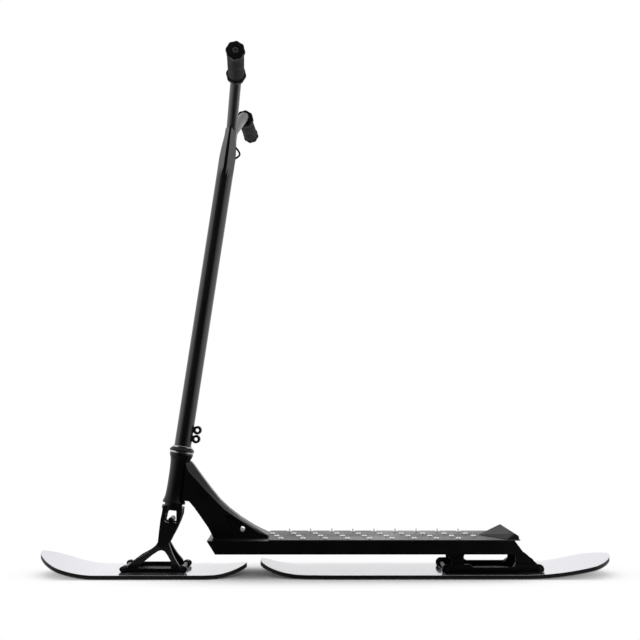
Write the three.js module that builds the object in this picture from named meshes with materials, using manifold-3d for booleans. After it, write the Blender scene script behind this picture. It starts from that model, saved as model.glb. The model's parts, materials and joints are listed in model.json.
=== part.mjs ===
// Snow scooter: a kick-scooter frame that stands on two twin-tip skis.
// Millimetres. X runs from the front ski to the rear ski, Z is up, -Y is the rider's left side.
import * as THREE from 'three';
import { mergeVertices } from 'three/addons/utils/BufferGeometryUtils.js';
import { ConvexGeometry } from 'three/addons/geometries/ConvexGeometry.js';
import Module from 'manifold-3d';

const wasm = await Module();
wasm.setup();

// Overall sizes
const overallLength = 1172;
const barWidth = 600;
const gripHeight = 999.5;
const rake = THREE.MathUtils.degToRad(8.1);
const seat = 0.3;
const overrun = 2;

// Skis: length, and for each end its run, rise, rise power, rounded length and fullness
const skiWidth = 156;
const skiThickness = 9;
const skiTipFlat = 3;
const skiEndStations = 16;
const frontSkiLength = 422;
const skiSpacing = 28;
const frontNose = { run: 124, rise: 37, power: 1.94, round: 55, fullness: 1.66 };
const frontTail = { run: 62, rise: 13.5, power: 1.74, round: 87, fullness: 1.67 };
const rearNose = { run: 94, rise: 20, power: 2.3, round: 202, fullness: 3.05 };
const rearTail = { run: 195, rise: 31, power: 2.04, round: 52, fullness: 1.64 };

// Ski mounts: a channel on the ski, two cross axles and what they carry
const axleHeight = 15.4;
const axleRadius = 3;
const axleHeadRadius = 4.6;
const axleHeadThickness = 3.4;
const axleThreadBeyondNut = 1.4;
const nutRadius = 4.6;
const nutThickness = 4.6;
const frontAxleFromNose = 178;
const frontAxleSpacing = 115.5;
const frontBaseHalfWidth = 45;
const frontBaseWallTop = 17.5;
const frontKnuckleRise = 6.5;
const rearAxleFromTail = 343;
const rearAxleSpacing = 187;
const rearBaseHalfWidth = 48;
const baseWall = 5;
const baseStrip = 1.5;
const rearBaseWallTop = 19.8;
const rearKnuckleRise = 10.2;
const rearRaisedRun = 46;
const knuckleHalfLength = 10.5;
const knuckleRamp = 8;
const baseStripInset = 6;
const baseStripLength = 18;
const baseScrewRadius = 2.5;
const baseScrewHeadRadius = 5;
const baseScrewHeadThickness = 2.6;
const baseScrewDepth = 7;
const baseScrewInset = 15;
const baseScrewHalfSpacing = 20;

// Deck: a hollow box section
const deckWidth = 150;
const deckBottom = 49;
const deckTop = 75.7;
const deckFrontFromNose = 345;
const deckFrontSlant = 17;
const deckRearFromTail = 210;
const deckRearSlant = 20;
const deckWall = 3;
const deckCellCount = 3;

// Grip plate with its studs
const plateThickness = 1.8;
const plateSideInset = 1.5;
const plateFrontFromNose = 467.5;
const plateRearFromTail = 198;
const studPitch = 44.9;
const studColumns = 10;
const studRowSpacingShare = 37 / 147;
const studRowOffsetShares = [0.784, 0, 0.223, 0.414];
const studFirstFromFront = 6.2;
const studHeadRadius = 4.4;
const studHeadHeight = 1.6;
const studSpikeRadius = 1.5;
const studSpikeHeight = 6.4;
const studSides = 8;
const studLastFromRear = 83;

// Tail wedge: a faceted heel stop
const wedgeRearInset = 2;
const wedgePeakFromRear = 25;
const wedgeFrontFromPeak = 46;
const wedgeSideInset = 3.5;
const wedgeHeight = 22.3;
const wedgeShoulderShare = 0.5;
const wedgeRearShare = 0.28;
const wedgeShoulderRunShare = 0.67;
const wedgeShoulderWidthShare = 0.93;
const wedgeRearWidthShare = 0.95;

// Rear bracket between the deck and the rear ski mount
const bracketPlate = 3.7;
const bracketWall = 6;
const bracketFrontLead = 1;
const bracketLength = 159;
const bracketLegRun = 36;
const bracketWindowLength = 106;
const bracketWaistInset = 11;
const bracketWaistHeight = 31;
const bracketFillet = 5;
const bracketToeLength = 22;
const bracketToeShoulder = 6;
const bracketToeHeight = 19.5;
const bracketLugRadius = 8.2;
const bracketBoltRadius = 3;
const bracketBoltHeadRadius = 6;
const bracketBoltHeadThickness = 3.4;
const bracketBoltReach = 12;
const bracketBoltInset = 45;
const bracketBoltHalfSpacing = 15;

// Head tube and headset, measured along the steering axis from the head tube's top
const headTopFromNose = 284.3;
const headTopZ = 246;
const headLength = 103.5;
const headRadius = 24.3;
const headWaistRadius = 19;
const headBore = 15.4;
const bearingRadius = 19.2;
const bearingThickness = 8;
const steererRadius = 14.3;
const steererWall = 2.3;
const steererAboveHead = 95;
const crownRaceRadius = 18.4;
const crownRaceThickness = 5.6;
const coverRingRadius = 25.2;
const coverRingThickness = 4.2;
const capRadius = 25.5;
const capTopRadius = 21.5;
const capThickness = 6.4;
const capEdgeShare = 0.3;
const spacerRingRadius = 19.6;
const spacerRingThickness = 3.8;

// Neck between the head tube and the deck
const neckStartLag = 5.7;
const neckLength = 181;
const neckHeight = 152;
const neckHalfWidth = 23;
const neckTopHalfWidth = 9;
const neckFootHalfWidth = 31;
const neckPocketDepth = 7;
const neckPocketLowDepth = 1;
const neckHoleRadius = 5.4;

// Fork
const crownRadius = 23.2;
const crownThickness = 7;
const forkBladeThickness = 8.5;
const forkTopHalfWidth = 21;
const forkWaistHalfWidth = 18;
const forkWaistHeight = 62;
const forkFootBendHeight = 25;
const footClearance = 0.6;
const forkLugRadius = 7;
const crossTubeRadius = 5.5;
const crownRun = 123.6;

// Stem and handlebar, along the steering axis
const stemRadius = 17.45;
const stemWall = 2.2;
const swageLength = 99.6;
const swageHalfDepth = 11.9;
const swageLowRidge = 20.5;
const swageTopRidge = 33.5;
const swageTopShoulder = 16;
const swageRidgeFlatShare = 0.195;
const clampSlot = 3;
const clampSlotHeight = 48;
const earRadius = 8.8;
const earHole = 3.8;
const earReach = 25.4;
const earThickness = 5.5;
const earWebShare = 0.7;
const earLowHeight = 17;
const earSpacing = 18.6;
const barRadius = 11.1;
const barWall = 2;
const riserRootHalfSpacing = 11.8;
const riserRootDepth = 13;
const riserRootBend = 24;
const riserGripBend = 36;
const riserGripClearance = 1.7;
const riserRise = 73.3;
const barSweep = THREE.MathUtils.degToRad(3.1);
const leashRod = 2.1;
const leashReach = 24.8;
const leashFromTop = 47.5;
const leashHeight = 29;

// Grips and bar ends
const gripLength = 143;
const gripRadius = 16.2;
const gripFlangeRadius = 20.3;
const gripFlangeThickness = 15;
const gripEndFlangeRadius = 18.6;
const gripEndFlangeThickness = 6;
const gripScallop = 1.3;
const gripScallopCount = 8;
const plugRadius = 18.4;
const plugThickness = 6.5;
const plugSpigot = 16;
const plugRecess = 2.4;
const plugScrewRadius = 5.6;
const plugScrewShank = 2.6;
const plugScrewSocket = 2.7;

// Compression parts inside the stem
const compressionCapThickness = 4;
const compressionBoltRadius = 3;
const compressionBoltHeadRadius = 5.5;
const compressionBoltHeadThickness = 5;
const compressionBoltLength = 36;
const starNutThickness = 6;

// Counts of sides for round things
const fine = 32;
const medium = 20;
const coarse = 12;
const bendSteps = 6;
const gripSides = 40;
const plugSides = 32;
const hexSides = 6;
const rodSides = 5;

// Places along X: the front pieces hang on the front ski's nose, the rear pieces on the rear ski's tail
const noseX = -overallLength / 2;
const tailX = overallLength / 2;
const rearSkiLength = overallLength - frontSkiLength - skiSpacing;
const frontMountX = noseX + frontAxleFromNose;
const rearMountX = tailX - rearAxleFromTail;
const deckFrontX = noseX + deckFrontFromNose;
const deckRearX = tailX - deckRearFromTail;
const plateFrontX = noseX + plateFrontFromNose;
const plateRearX = tailX - plateRearFromTail;
const wedgeRearX = plateRearX - wedgeRearInset;
const wedgePeakX = wedgeRearX - wedgePeakFromRear;
const wedgeFrontX = wedgePeakX - wedgeFrontFromPeak;
const bracketFrontX = rearMountX - bracketFrontLead;
const bracketRearX = bracketFrontX + bracketLength;
const bracketWaistX = bracketFrontX + bracketWaistInset;
const headTopX = noseX + headTopFromNose;
const neckStartX = headTopX + neckStartLag;

// Other places worked out from the sizes above
const skiTop = skiThickness;
const baseBottom = skiTop + seat;
const baseStripTop = baseBottom + baseStrip;
const footBottom = baseStripTop + footClearance;
const spacerRadius = axleHeight - footBottom + seat;
const plateWidth = deckWidth - plateSideInset * 2;
const wedgeHalfWidth = plateWidth / 2 - wedgeSideInset;
const studRowSpacing = plateWidth * studRowSpacingShare;
const plateBottom = deckTop + seat;
const plateTop = plateBottom + plateThickness;
const stemBottom = coverRingThickness + capThickness + spacerRingThickness + seat * 4;
const gripReach = (barWidth / 2 - gripLength / 2) * Math.tan(barSweep);
const gripOnAxis = (gripHeight - headTopZ + gripReach * Math.sin(rake)) / Math.cos(rake);
const stemTop = gripOnAxis - riserRise;
const swageStart = stemTop - swageLength;
const blackMetal = { color: 0x161617, roughness: 0.42, metalness: 0.55 };
const blackPlastic = { color: 0x131314, roughness: 0.6, metalness: 0 };
const blackRubber = { color: 0x151515, roughness: 0.85, metalness: 0 };
const silverMetal = { color: 0xc9cbcd, roughness: 0.22, metalness: 1 };
const plateMetal = { color: 0x8c8c8e, roughness: 0.38, metalness: 0.9 };
const skiSheet = { color: 0xd6d4dc, roughness: 0.18, metalness: 0 };

// Geometry to solid and back
function toSolid(geometry) {
  let clean = geometry.clone();
  clean.deleteAttribute('normal');
  clean.deleteAttribute('uv');
  clean = mergeVertices(clean, 1e-4);
  const mesh = new wasm.Mesh({
    numProp: 3,
    vertProperties: new Float32Array(clean.attributes.position.array),
    triVerts: new Uint32Array(clean.index.array),
  });
  return new wasm.Manifold(mesh);
}

function toGeometry(solid) {
  const mesh = solid.getMesh();
  const geometry = new THREE.BufferGeometry();
  geometry.setAttribute('position', new THREE.BufferAttribute(mesh.vertProperties, 3));
  geometry.setIndex(new THREE.BufferAttribute(mesh.triVerts, 1));
  return withNormals(geometry);
}

function withNormals(geometry) {
  const flat = geometry.index ? geometry.toNonIndexed() : geometry;
  flat.deleteAttribute('normal');
  flat.computeVertexNormals();
  return flat;
}

function add(...geometries) {
  return toGeometry(geometries.map(toSolid).reduce((all, next) => all.add(next)));
}

function cut(geometry, ...tools) {
  return toGeometry(tools.map(toSolid).reduce((all, next) => all.subtract(next), toSolid(geometry)));
}

function keep(geometry, tool) {
  return toGeometry(toSolid(geometry).intersect(toSolid(tool)));
}

// Basic shapes
function box(x0, x1, y0, y1, z0, z1) {
  const geometry = new THREE.BoxGeometry(x1 - x0, y1 - y0, z1 - z0);
  return geometry.translate((x0 + x1) / 2, (y0 + y1) / 2, (z0 + z1) / 2);
}

function uprightCylinder(radius, z0, z1, sides = medium) {
  const geometry = new THREE.CylinderGeometry(radius, radius, z1 - z0, sides);
  return geometry.rotateX(Math.PI / 2).translate(0, 0, (z0 + z1) / 2);
}

function crossCylinder(radius, y0, y1, x, z, sides = medium) {
  const geometry = new THREE.CylinderGeometry(radius, radius, y1 - y0, sides);
  return geometry.translate(x, (y0 + y1) / 2, z);
}

// Turns a closed profile of [radius, height] pairs about the Z axis
function turned(profile, sides = fine) {
  const points = profile.map(([radius, height]) => new THREE.Vector2(radius, height));
  points.push(points[0].clone());
  const geometry = new THREE.LatheGeometry(points, sides).rotateX(Math.PI / 2);
  return outward(geometry);
}

// Turns a geometry's faces round if its volume comes out negative
function outward(geometry) {
  const indexed = mergeVertices(bare(geometry), 1e-4);
  const position = indexed.attributes.position;
  const index = indexed.index.array;
  const [a, b, c] = [new THREE.Vector3(), new THREE.Vector3(), new THREE.Vector3()];
  let volume = 0;
  for (let i = 0; i < index.length; i += 3) {
    a.fromBufferAttribute(position, index[i]);
    b.fromBufferAttribute(position, index[i + 1]);
    c.fromBufferAttribute(position, index[i + 2]);
    volume += a.dot(b.cross(c));
  }
  if (volume < 0) {
    for (let i = 0; i < index.length; i += 3) [index[i], index[i + 1]] = [index[i + 1], index[i]];
  }
  return dropSlivers(indexed);
}

function bare(geometry) {
  const copy = geometry.clone();
  copy.deleteAttribute('normal');
  copy.deleteAttribute('uv');
  return copy;
}

function dropSlivers(geometry) {
  const index = geometry.index.array;
  const kept = [];
  for (let i = 0; i < index.length; i += 3) {
    const [a, b, c] = [index[i], index[i + 1], index[i + 2]];
    if (a !== b && b !== c && c !== a) kept.push(a, b, c);
  }
  geometry.setIndex(kept);
  return geometry;
}

function ring(outer, inner, z0, z1, sides = fine) {
  return turned([[inner, z0], [outer, z0], [outer, z1], [inner, z1]], sides);
}

// Extrudes a shape drawn in X and Z across the width from y0 to y1
function plate(shape, y0, y1, curveSegments = 8) {
  const geometry = new THREE.ExtrudeGeometry(shape, { depth: y1 - y0, bevelEnabled: false, curveSegments });
  return geometry.rotateX(Math.PI / 2).translate(0, y1, 0);
}

function outline(points) {
  return new THREE.Shape(points.map(([x, z]) => new THREE.Vector2(x, z)));
}

// Closed solid through a list of loops with equal point counts
function loft(loops) {
  const sides = loops[0].length;
  const positions = loops.flat().flatMap((point) => [point.x, point.y, point.z]);
  const index = [];
  for (let i = 0; i + 1 < loops.length; i += 1) {
    for (let j = 0; j < sides; j += 1) {
      const k = (j + 1) % sides;
      const [a, b, c, d] = [i * sides + j, i * sides + k, (i + 1) * sides + k, (i + 1) * sides + j];
      index.push(a, b, c, a, c, d);
    }
  }
  const last = (loops.length - 1) * sides;
  for (let j = 1; j + 1 < sides; j += 1) {
    index.push(0, j + 1, j);
    index.push(last, last + j, last + j + 1);
  }
  const geometry = new THREE.BufferGeometry();
  geometry.setAttribute('position', new THREE.Float32BufferAttribute(positions, 3));
  geometry.setIndex(index);
  return outward(geometry);
}

function circleShape(radius, hole) {
  const shape = new THREE.Shape();
  shape.absarc(0, 0, radius, 0, Math.PI * 2);
  if (hole) {
    const inner = new THREE.Path();
    inner.absarc(0, 0, hole, 0, Math.PI * 2, true);
    shape.holes.push(inner);
  }
  return shape;
}

function alongPath(shape, curve, steps, curveSegments) {
  const options = { steps, bevelEnabled: false, extrudePath: curve, curveSegments };
  return outward(new THREE.ExtrudeGeometry(shape, options));
}

// The steering axis as a frame: its origin is the centre of the head tube's top
const steeringMatrix = new THREE.Matrix4().makeRotationY(rake).setPosition(headTopX, 0, headTopZ);
const steering = new THREE.Group();
steering.position.set(headTopX, 0, headTopZ);
steering.rotation.y = rake;
const part = new THREE.Group();

function onAxis(geometry) {
  return geometry.clone().applyMatrix4(steeringMatrix);
}

function mesh(parent, name, geometry, look) {
  const item = new THREE.Mesh(withNormals(geometry), new THREE.MeshStandardMaterial(look));
  item.name = name;
  parent.add(item);
  return item;
}

// Skis
function endHeight(end, fromTip) {
  return fromTip < end.run ? end.rise * ((end.run - fromTip) / end.run) ** end.power : 0;
}

function endHalfWidth(end, fromTip) {
  if (fromTip >= end.round) return skiWidth / 2;
  const share = (1 - (1 - fromTip / end.round) ** end.fullness) ** (1 / end.fullness);
  return Math.max(skiTipFlat, (skiWidth / 2) * share);
}

function skiLoop(x, halfWidth, height) {
  return [
    new THREE.Vector3(x, -halfWidth, height),
    new THREE.Vector3(x, halfWidth, height),
    new THREE.Vector3(x, halfWidth, height + skiThickness),
    new THREE.Vector3(x, -halfWidth, height + skiThickness),
  ];
}

function skiBlank({ noseX, length, nose, tail }) {
  const loops = [];
  for (let i = 0; i <= skiEndStations; i += 1) {
    const fromTip = Math.max(nose.run, nose.round) * (i / skiEndStations) ** 2;
    loops.push(skiLoop(noseX + fromTip, endHalfWidth(nose, fromTip), endHeight(nose, fromTip)));
  }
  for (let i = skiEndStations; i >= 0; i -= 1) {
    const fromTip = Math.max(tail.run, tail.round) * (i / skiEndStations) ** 2;
    loops.push(skiLoop(noseX + length - fromTip, endHalfWidth(tail, fromTip), endHeight(tail, fromTip)));
  }
  return loft(loops);
}

function ski(sizes, mount) {
  const low = skiTop - baseScrewDepth - seat;
  const drills = screwPlaces(mount).map(([x, y]) => {
    return uprightCylinder(baseScrewRadius + seat, low, skiTop + overrun, coarse).translate(x, y, 0);
  });
  return cut(skiBlank(sizes), ...drills);
}

function screwPlaces({ frontX, spacing }) {
  const places = [];
  for (const x of [frontX + baseScrewInset, frontX + spacing - baseScrewInset]) {
    for (const y of [-baseScrewHalfSpacing, baseScrewHalfSpacing]) places.push([x, y]);
  }
  return places;
}

// Ski mount base: two walls with rounded knuckles round the axles, joined by a screwed strip near each axle.
// The knuckles' tops run on towards each other by the raised run, then drop to the wall's top
function baseWallShape({ frontX, spacing, wallTop, knuckleRise, raisedRun }) {
  const rearX = frontX + spacing;
  const low = Math.asin((axleHeight - skiTop) / knuckleRise);
  const lowReach = knuckleHalfLength * Math.cos(low);
  const top = axleHeight + knuckleRise;
  const shape = new THREE.Shape();
  shape.moveTo(frontX - lowReach, skiTop);
  shape.absellipse(frontX, axleHeight, knuckleHalfLength, knuckleRise, Math.PI + low, Math.PI / 2, true);
  shape.lineTo(frontX + raisedRun, top);
  shape.lineTo(frontX + raisedRun + knuckleRamp, wallTop);
  shape.lineTo(rearX - raisedRun - knuckleRamp, wallTop);
  shape.lineTo(rearX - raisedRun, top);
  shape.absellipse(rearX, axleHeight, knuckleHalfLength, knuckleRise, Math.PI / 2, -low, true);
  return shape;
}

function mountBase(skiSizes, mount) {
  const { frontX, spacing, halfWidth } = mount;
  const rearX = frontX + spacing;
  const shape = baseWallShape(mount);
  const walls = [-1, 1].map((side) => {
    const inner = side * (halfWidth - baseWall);
    const outer = side * halfWidth;
    return plate(shape, Math.min(inner, outer), Math.max(inner, outer));
  });
  const inner = halfWidth - baseWall / 2;
  const strips = [frontX + baseStripInset, rearX - baseStripInset - baseStripLength].map((x) => {
    return box(x, x + baseStripLength, -inner, inner, skiTop, baseStripTop);
  });
  const whole = add(...walls, ...strips);
  const bores = [frontX, rearX].map((x) => {
    return crossCylinder(axleRadius + seat, -halfWidth - overrun, halfWidth + overrun, x, axleHeight, coarse);
  });
  const drills = screwPlaces(mount).map(([x, y]) => {
    return uprightCylinder(baseScrewRadius + seat, 0, baseStripTop + overrun, coarse).translate(x, y, 0);
  });
  return cut(whole, skiBlank(skiSizes).translate(0, 0, seat), ...bores, ...drills);
}

// The eye of a fork foot or bracket leg round an axle, flat below where it clears the ski
function lug(radius, y0, y1, x) {
  const room = box(x - radius, x + radius, y0, y1, footBottom, axleHeight + radius);
  return keep(crossCylinder(radius, y0, y1, x, axleHeight), room);
}

function axleBolt(x, halfWidth) {
  const headFace = -halfWidth - seat;
  const end = halfWidth + seat + nutThickness + axleThreadBeyondNut;
  const shank = crossCylinder(axleRadius, headFace - axleHeadThickness / 2, end, x, axleHeight);
  const head = crossCylinder(axleHeadRadius, headFace - axleHeadThickness, headFace, x, axleHeight);
  const socket = crossCylinder(axleRadius / 2, headFace - axleHeadThickness - overrun,
    headFace - axleHeadThickness / 2, x, axleHeight, hexSides);
  return cut(add(shank, head), socket);
}

function axleNut(x, halfWidth) {
  const face = halfWidth + seat;
  const nut = crossCylinder(nutRadius, face, face + nutThickness, x, axleHeight, hexSides);
  const end = face + nutThickness + overrun;
  return cut(nut, crossCylinder(axleRadius + seat, face - overrun, end, x, axleHeight));
}

function axleSpacer(x, halfLength) {
  const sleeve = crossCylinder(spacerRadius, -halfLength, halfLength, x, axleHeight);
  const end = halfLength + overrun;
  return cut(sleeve, crossCylinder(axleRadius + seat, -end, end, x, axleHeight));
}

function baseScrew(x, y) {
  const headBottom = baseStripTop + seat;
  const headTop = headBottom + baseScrewHeadThickness;
  const head = uprightCylinder(baseScrewHeadRadius, headBottom, headTop, coarse);
  const middle = headBottom + baseScrewHeadThickness / 2;
  const shank = uprightCylinder(baseScrewRadius, skiTop - baseScrewDepth, middle, coarse);
  const socket = uprightCylinder(baseScrewRadius / 2, middle, headTop + overrun, hexSides);
  return cut(add(head, shank), socket).translate(x, y, 0);
}

// One ski with its mount: base, screws, axles, nuts and spacers
function skiWithMount(label, skiSizes, mount) {
  const { frontX, spacing, halfWidth, carriedHalfWidth } = mount;
  mesh(part, `${label}_ski`, ski(skiSizes, mount), skiSheet);
  mesh(part, `${label}_ski_base`, mountBase(skiSizes, mount), blackMetal);
  screwPlaces(mount).forEach(([x, y], i) => {
    mesh(part, `${label}_base_screw_${i + 1}`, baseScrew(x, y), silverMetal);
  });
  [['front', frontX], ['rear', frontX + spacing]].forEach(([end, x]) => {
    mesh(part, `${label}_mount_${end}_axle`, axleBolt(x, halfWidth), blackMetal);
    mesh(part, `${label}_mount_${end}_nut`, axleNut(x, halfWidth), blackMetal);
    mesh(part, `${label}_mount_${end}_spacer`, axleSpacer(x, carriedHalfWidth - seat), blackMetal);
  });
}

// Deck
function deckProfile(inset) {
  const slope = (fromTop) => (fromTop / (deckTop - deckBottom));
  const low = deckBottom + inset;
  const high = deckTop - inset;
  const reach = inset > 0 ? -overrun * 2 : 0;
  return outline([
    [deckFrontX + reach + deckFrontSlant * slope(deckTop - low), low],
    [deckRearX - reach + deckRearSlant * slope(deckTop - low), low],
    [deckRearX - reach + deckRearSlant * slope(deckTop - high), high],
    [deckFrontX + reach + deckFrontSlant * slope(deckTop - high), high],
  ]);
}

function bracketBoltPlaces() {
  const places = [];
  for (const x of [bracketFrontX + bracketBoltInset, bracketRearX - bracketBoltInset]) {
    for (const y of [-bracketBoltHalfSpacing, bracketBoltHalfSpacing]) places.push([x, y]);
  }
  return places;
}

function deckBox() {
  const shell = plate(deckProfile(0), -deckWidth / 2, deckWidth / 2);
  const pitch = (deckWidth - deckWall) / deckCellCount;
  const cells = Array.from({ length: deckCellCount }, (_, i) => {
    const y0 = -deckWidth / 2 + deckWall + i * pitch;
    return plate(deckProfile(deckWall), y0, y0 + pitch - deckWall);
  });
  const drills = bracketBoltPlaces().map(([x, y]) => {
    const [low, high] = [deckBottom - overrun, deckBottom + deckWall + overrun];
    return uprightCylinder(bracketBoltRadius + seat, low, high, coarse).translate(x, y, 0);
  });
  return cut(shell, ...cells, ...drills);
}

function stud(x, y) {
  const low = plateBottom + plateThickness / 2;
  const profile = [
    [0, low], [studHeadRadius, low], [studHeadRadius, plateTop + studHeadHeight / 2],
    [studSpikeRadius, plateTop + studHeadHeight], [studSpikeRadius / 2, plateTop + studSpikeHeight],
    [0, plateTop + studSpikeHeight],
  ];
  return turned(profile, studSides).translate(x, y, 0);
}

function gripPlate() {
  const half = plateWidth / 2;
  const sheet = box(plateFrontX, plateRearX, -half, half, plateBottom, plateTop);
  const studs = [];
  studRowOffsetShares.forEach((share, row) => {
    const y = ((studRowOffsetShares.length - 1) / 2 - row) * studRowSpacing;
    for (let i = 0; i < studColumns; i += 1) {
      const x = plateFrontX + studFirstFromFront + (share + i) * studPitch;
      if (x < plateRearX - studLastFromRear) studs.push(stud(x, y));
    }
  });
  return add(sheet, ...studs);
}

function tailWedge() {
  const bottom = plateTop + seat;
  const shoulder = bottom + wedgeHeight * wedgeShoulderShare;
  const rear = bottom + wedgeHeight * wedgeRearShare;
  const peak = new THREE.Vector3(wedgePeakX, 0, bottom + wedgeHeight);
  const points = [new THREE.Vector3(wedgeFrontX, 0, bottom), peak];
  for (const side of [-1, 1]) {
    const y = side * wedgeHalfWidth;
    const shoulderX = wedgePeakX + (wedgeRearX - wedgePeakX) * wedgeShoulderRunShare;
    points.push(new THREE.Vector3(wedgePeakX, y, bottom));
    points.push(new THREE.Vector3(wedgeRearX, y, bottom));
    points.push(new THREE.Vector3(shoulderX, y * wedgeShoulderWidthShare, shoulder));
    points.push(new THREE.Vector3(wedgeRearX, y * wedgeRearWidthShare, rear));
  }
  return new ConvexGeometry(points);
}

// Rear bracket: an upside-down channel with a window in each side
const bracketHalfWidth = rearBaseHalfWidth - baseWall - seat;
const rearAxleX = rearMountX + rearAxleSpacing;

function bracketSide() {
  const top = deckBottom - seat;
  const windowTop = top - bracketPlate;
  const legRear = bracketFrontX + bracketLegRun;
  const windowRear = legRear + bracketWindowLength;
  const eye = bracketLugRadius;
  const shape = new THREE.Shape();
  shape.moveTo(bracketFrontX, top);
  shape.lineTo(bracketWaistX, bracketWaistHeight);
  shape.lineTo(bracketWaistX, axleHeight + eye / 2);
  shape.lineTo(rearMountX, axleHeight + eye / 2);
  shape.lineTo(rearMountX, footBottom);
  shape.lineTo(legRear + eye / 2, footBottom);
  shape.lineTo(legRear, axleHeight + eye);
  shape.lineTo(legRear, windowTop - bracketFillet);
  shape.quadraticCurveTo(legRear, windowTop, legRear + bracketFillet, windowTop);
  shape.lineTo(windowRear - bracketFillet, windowTop);
  shape.quadraticCurveTo(windowRear, windowTop, windowRear, windowTop - bracketFillet);
  shape.lineTo(windowRear, bracketToeHeight + eye);
  shape.lineTo(windowRear - bracketToeShoulder, bracketToeHeight);
  shape.lineTo(windowRear - bracketToeLength, footBottom);
  shape.lineTo(rearAxleX, footBottom);
  shape.lineTo(rearAxleX, axleHeight + eye);
  shape.lineTo(bracketRearX + bracketFillet, windowTop);
  shape.lineTo(bracketRearX, top);
  return shape;
}

function rearBracket() {
  const top = deckBottom - seat;
  const inner = bracketHalfWidth - bracketWall;
  const sides = [[-bracketHalfWidth, -inner], [inner, bracketHalfWidth]].map(([y0, y1]) => {
    const lugs = [rearMountX, rearAxleX].map((x) => lug(bracketLugRadius, y0, y1, x));
    return add(plate(bracketSide(), y0, y1), ...lugs);
  });
  const roof = box(bracketFrontX, bracketRearX, -inner - overrun, inner + overrun, top - bracketPlate, top);
  const bores = [rearMountX, rearAxleX].map((x) => {
    const end = bracketHalfWidth + overrun;
    return crossCylinder(axleRadius + seat, -end, end, x, axleHeight);
  });
  const drills = bracketBoltPlaces().map(([x, y]) => {
    const [low, high] = [top - bracketPlate - overrun, top + overrun];
    return uprightCylinder(bracketBoltRadius + seat, low, high, coarse).translate(x, y, 0);
  });
  return cut(add(...sides, roof), ...bores, ...drills);
}

function bracketBolt(x, y) {
  const headTop = deckBottom - seat * 2 - bracketPlate;
  const headBottom = headTop - bracketBoltHeadThickness;
  const head = uprightCylinder(bracketBoltHeadRadius, headBottom, headTop, coarse);
  const middle = headBottom + bracketBoltHeadThickness / 2;
  const shank = uprightCylinder(bracketBoltRadius, middle, headTop + bracketBoltReach, coarse);
  const socket = uprightCylinder(bracketBoltRadius / 2, headBottom - overrun, middle, hexSides);
  return cut(add(head, shank), socket).translate(x, y, 0);
}

// Head tube: heights are shares of its length, radii blend from waist to full radius
const headOutlineShares = [[0, 1], [0.055, 0.86], [0.1, 0.5], [0.19, 0.22], [0.4, 0.03], [0.6, 0],
  [0.82, 0.12], [0.92, 0.45], [0.97, 0.8], [1, 0.9]];

function headOutline(extra) {
  return headOutlineShares.map(([along, wide]) => {
    return [headWaistRadius + (headRadius - headWaistRadius) * wide + extra, -headLength * along];
  });
}

function headTube() {
  const outer = headOutline(0);
  const seatRadius = bearingRadius + seat;
  const seatDepth = bearingThickness + seat;
  const inner = [
    [seatRadius, -headLength], [seatRadius, seatDepth - headLength], [headBore, seatDepth - headLength],
    [headBore, -seatDepth], [seatRadius, -seatDepth], [seatRadius, 0],
  ];
  return turned([...outer, ...inner]);
}

// Neck: rows of [top x, top z, bevel x, bevel z, low x, low z] as shares of its length and height
const neckShares = [
  [0.083, 1.007, 0.03, 0.99, 0, 0.487], [0.119, 0.954, 0.06, 0.88, 0.073, 0.478],
  [0.218, 0.795, 0.154, 0.764, 0.133, 0.395], [0.318, 0.639, 0.265, 0.62, 0.199, 0.289],
  [0.423, 0.487, 0.37, 0.495, 0.262, 0.184], [0.525, 0.374, 0.475, 0.37, 0.295, 0.13],
  [0.652, 0.257, 0.611, 0.263, 0.353, 0], [0.809, 0.138, 0.785, 0.13, 0.586, 0],
  [0.886, 0.086, 0.87, 0.063, 0.807, 0], [0.978, 0.03, 0.968, 0.012, 0.972, 0],
];
const neckPocketShares = [[0.484, 0.282], [0.561, 0.286], [0.71, 0.101], [0.563, 0.084]];
const neckHoleShares = [0.682, 0.116];

function neckPoint([xShare, zShare]) {
  return [neckStartX + xShare * neckLength, plateBottom + zShare * neckHeight];
}

function neck() {
  const loops = neckShares.map(([topX, topZ, bevelX, bevelZ, lowX, lowZ], i) => {
    const along = i / (neckShares.length - 1);
    const wide = neckHalfWidth + (neckFootHalfWidth - neckHalfWidth) * along ** 3;
    const narrow = neckTopHalfWidth + (wide - neckTopHalfWidth) * along ** 2;
    const [top, bevel, low] = [neckPoint([topX, topZ]), neckPoint([bevelX, bevelZ]), neckPoint([lowX, lowZ])];
    const place = ([x, z], y) => new THREE.Vector3(x, y, z);
    return [place(top, narrow), place(bevel, wide), place(low, wide), place(low, -wide), place(bevel, -wide),
      place(top, -narrow)];
  });
  return loft(loops);
}

// The room that the head tube needs, with its ends run out along the axis
function headClearance() {
  const outer = headOutline(seat);
  const top = [headRadius + seat, headRadius];
  const bottom = [outer[outer.length - 1][0], -headLength - headRadius];
  return turned([[0, headRadius], top, ...outer, bottom, [0, bottom[1]]]);
}

// A pocket's floor leans: it is deepest at the pocket's highest corner
function neckPocket(side) {
  const heights = neckPocketShares.map(([, zShare]) => zShare);
  const [low, high] = [Math.min(...heights), Math.max(...heights)];
  const corner = (share, y) => {
    const [x, z] = neckPoint(share);
    return new THREE.Vector3(x, side * y, z);
  };
  const mouth = neckPocketShares.map((share) => corner(share, neckFootHalfWidth + overrun));
  const floor = neckPocketShares.map((share) => {
    const leaning = (neckPocketDepth - neckPocketLowDepth) * (share[1] - low) / (high - low);
    return corner(share, neckHalfWidth - neckPocketLowDepth - leaning);
  });
  return loft([mouth, floor]);
}

function neckBody() {
  const [holeX, holeZ] = neckPoint(neckHoleShares);
  const end = neckFootHalfWidth + overrun;
  const hole = crossCylinder(neckHoleRadius, -end, end, holeX, holeZ, coarse);
  return cut(neck(), onAxis(headClearance()), neckPocket(-1), neckPocket(1), hole);
}

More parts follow.
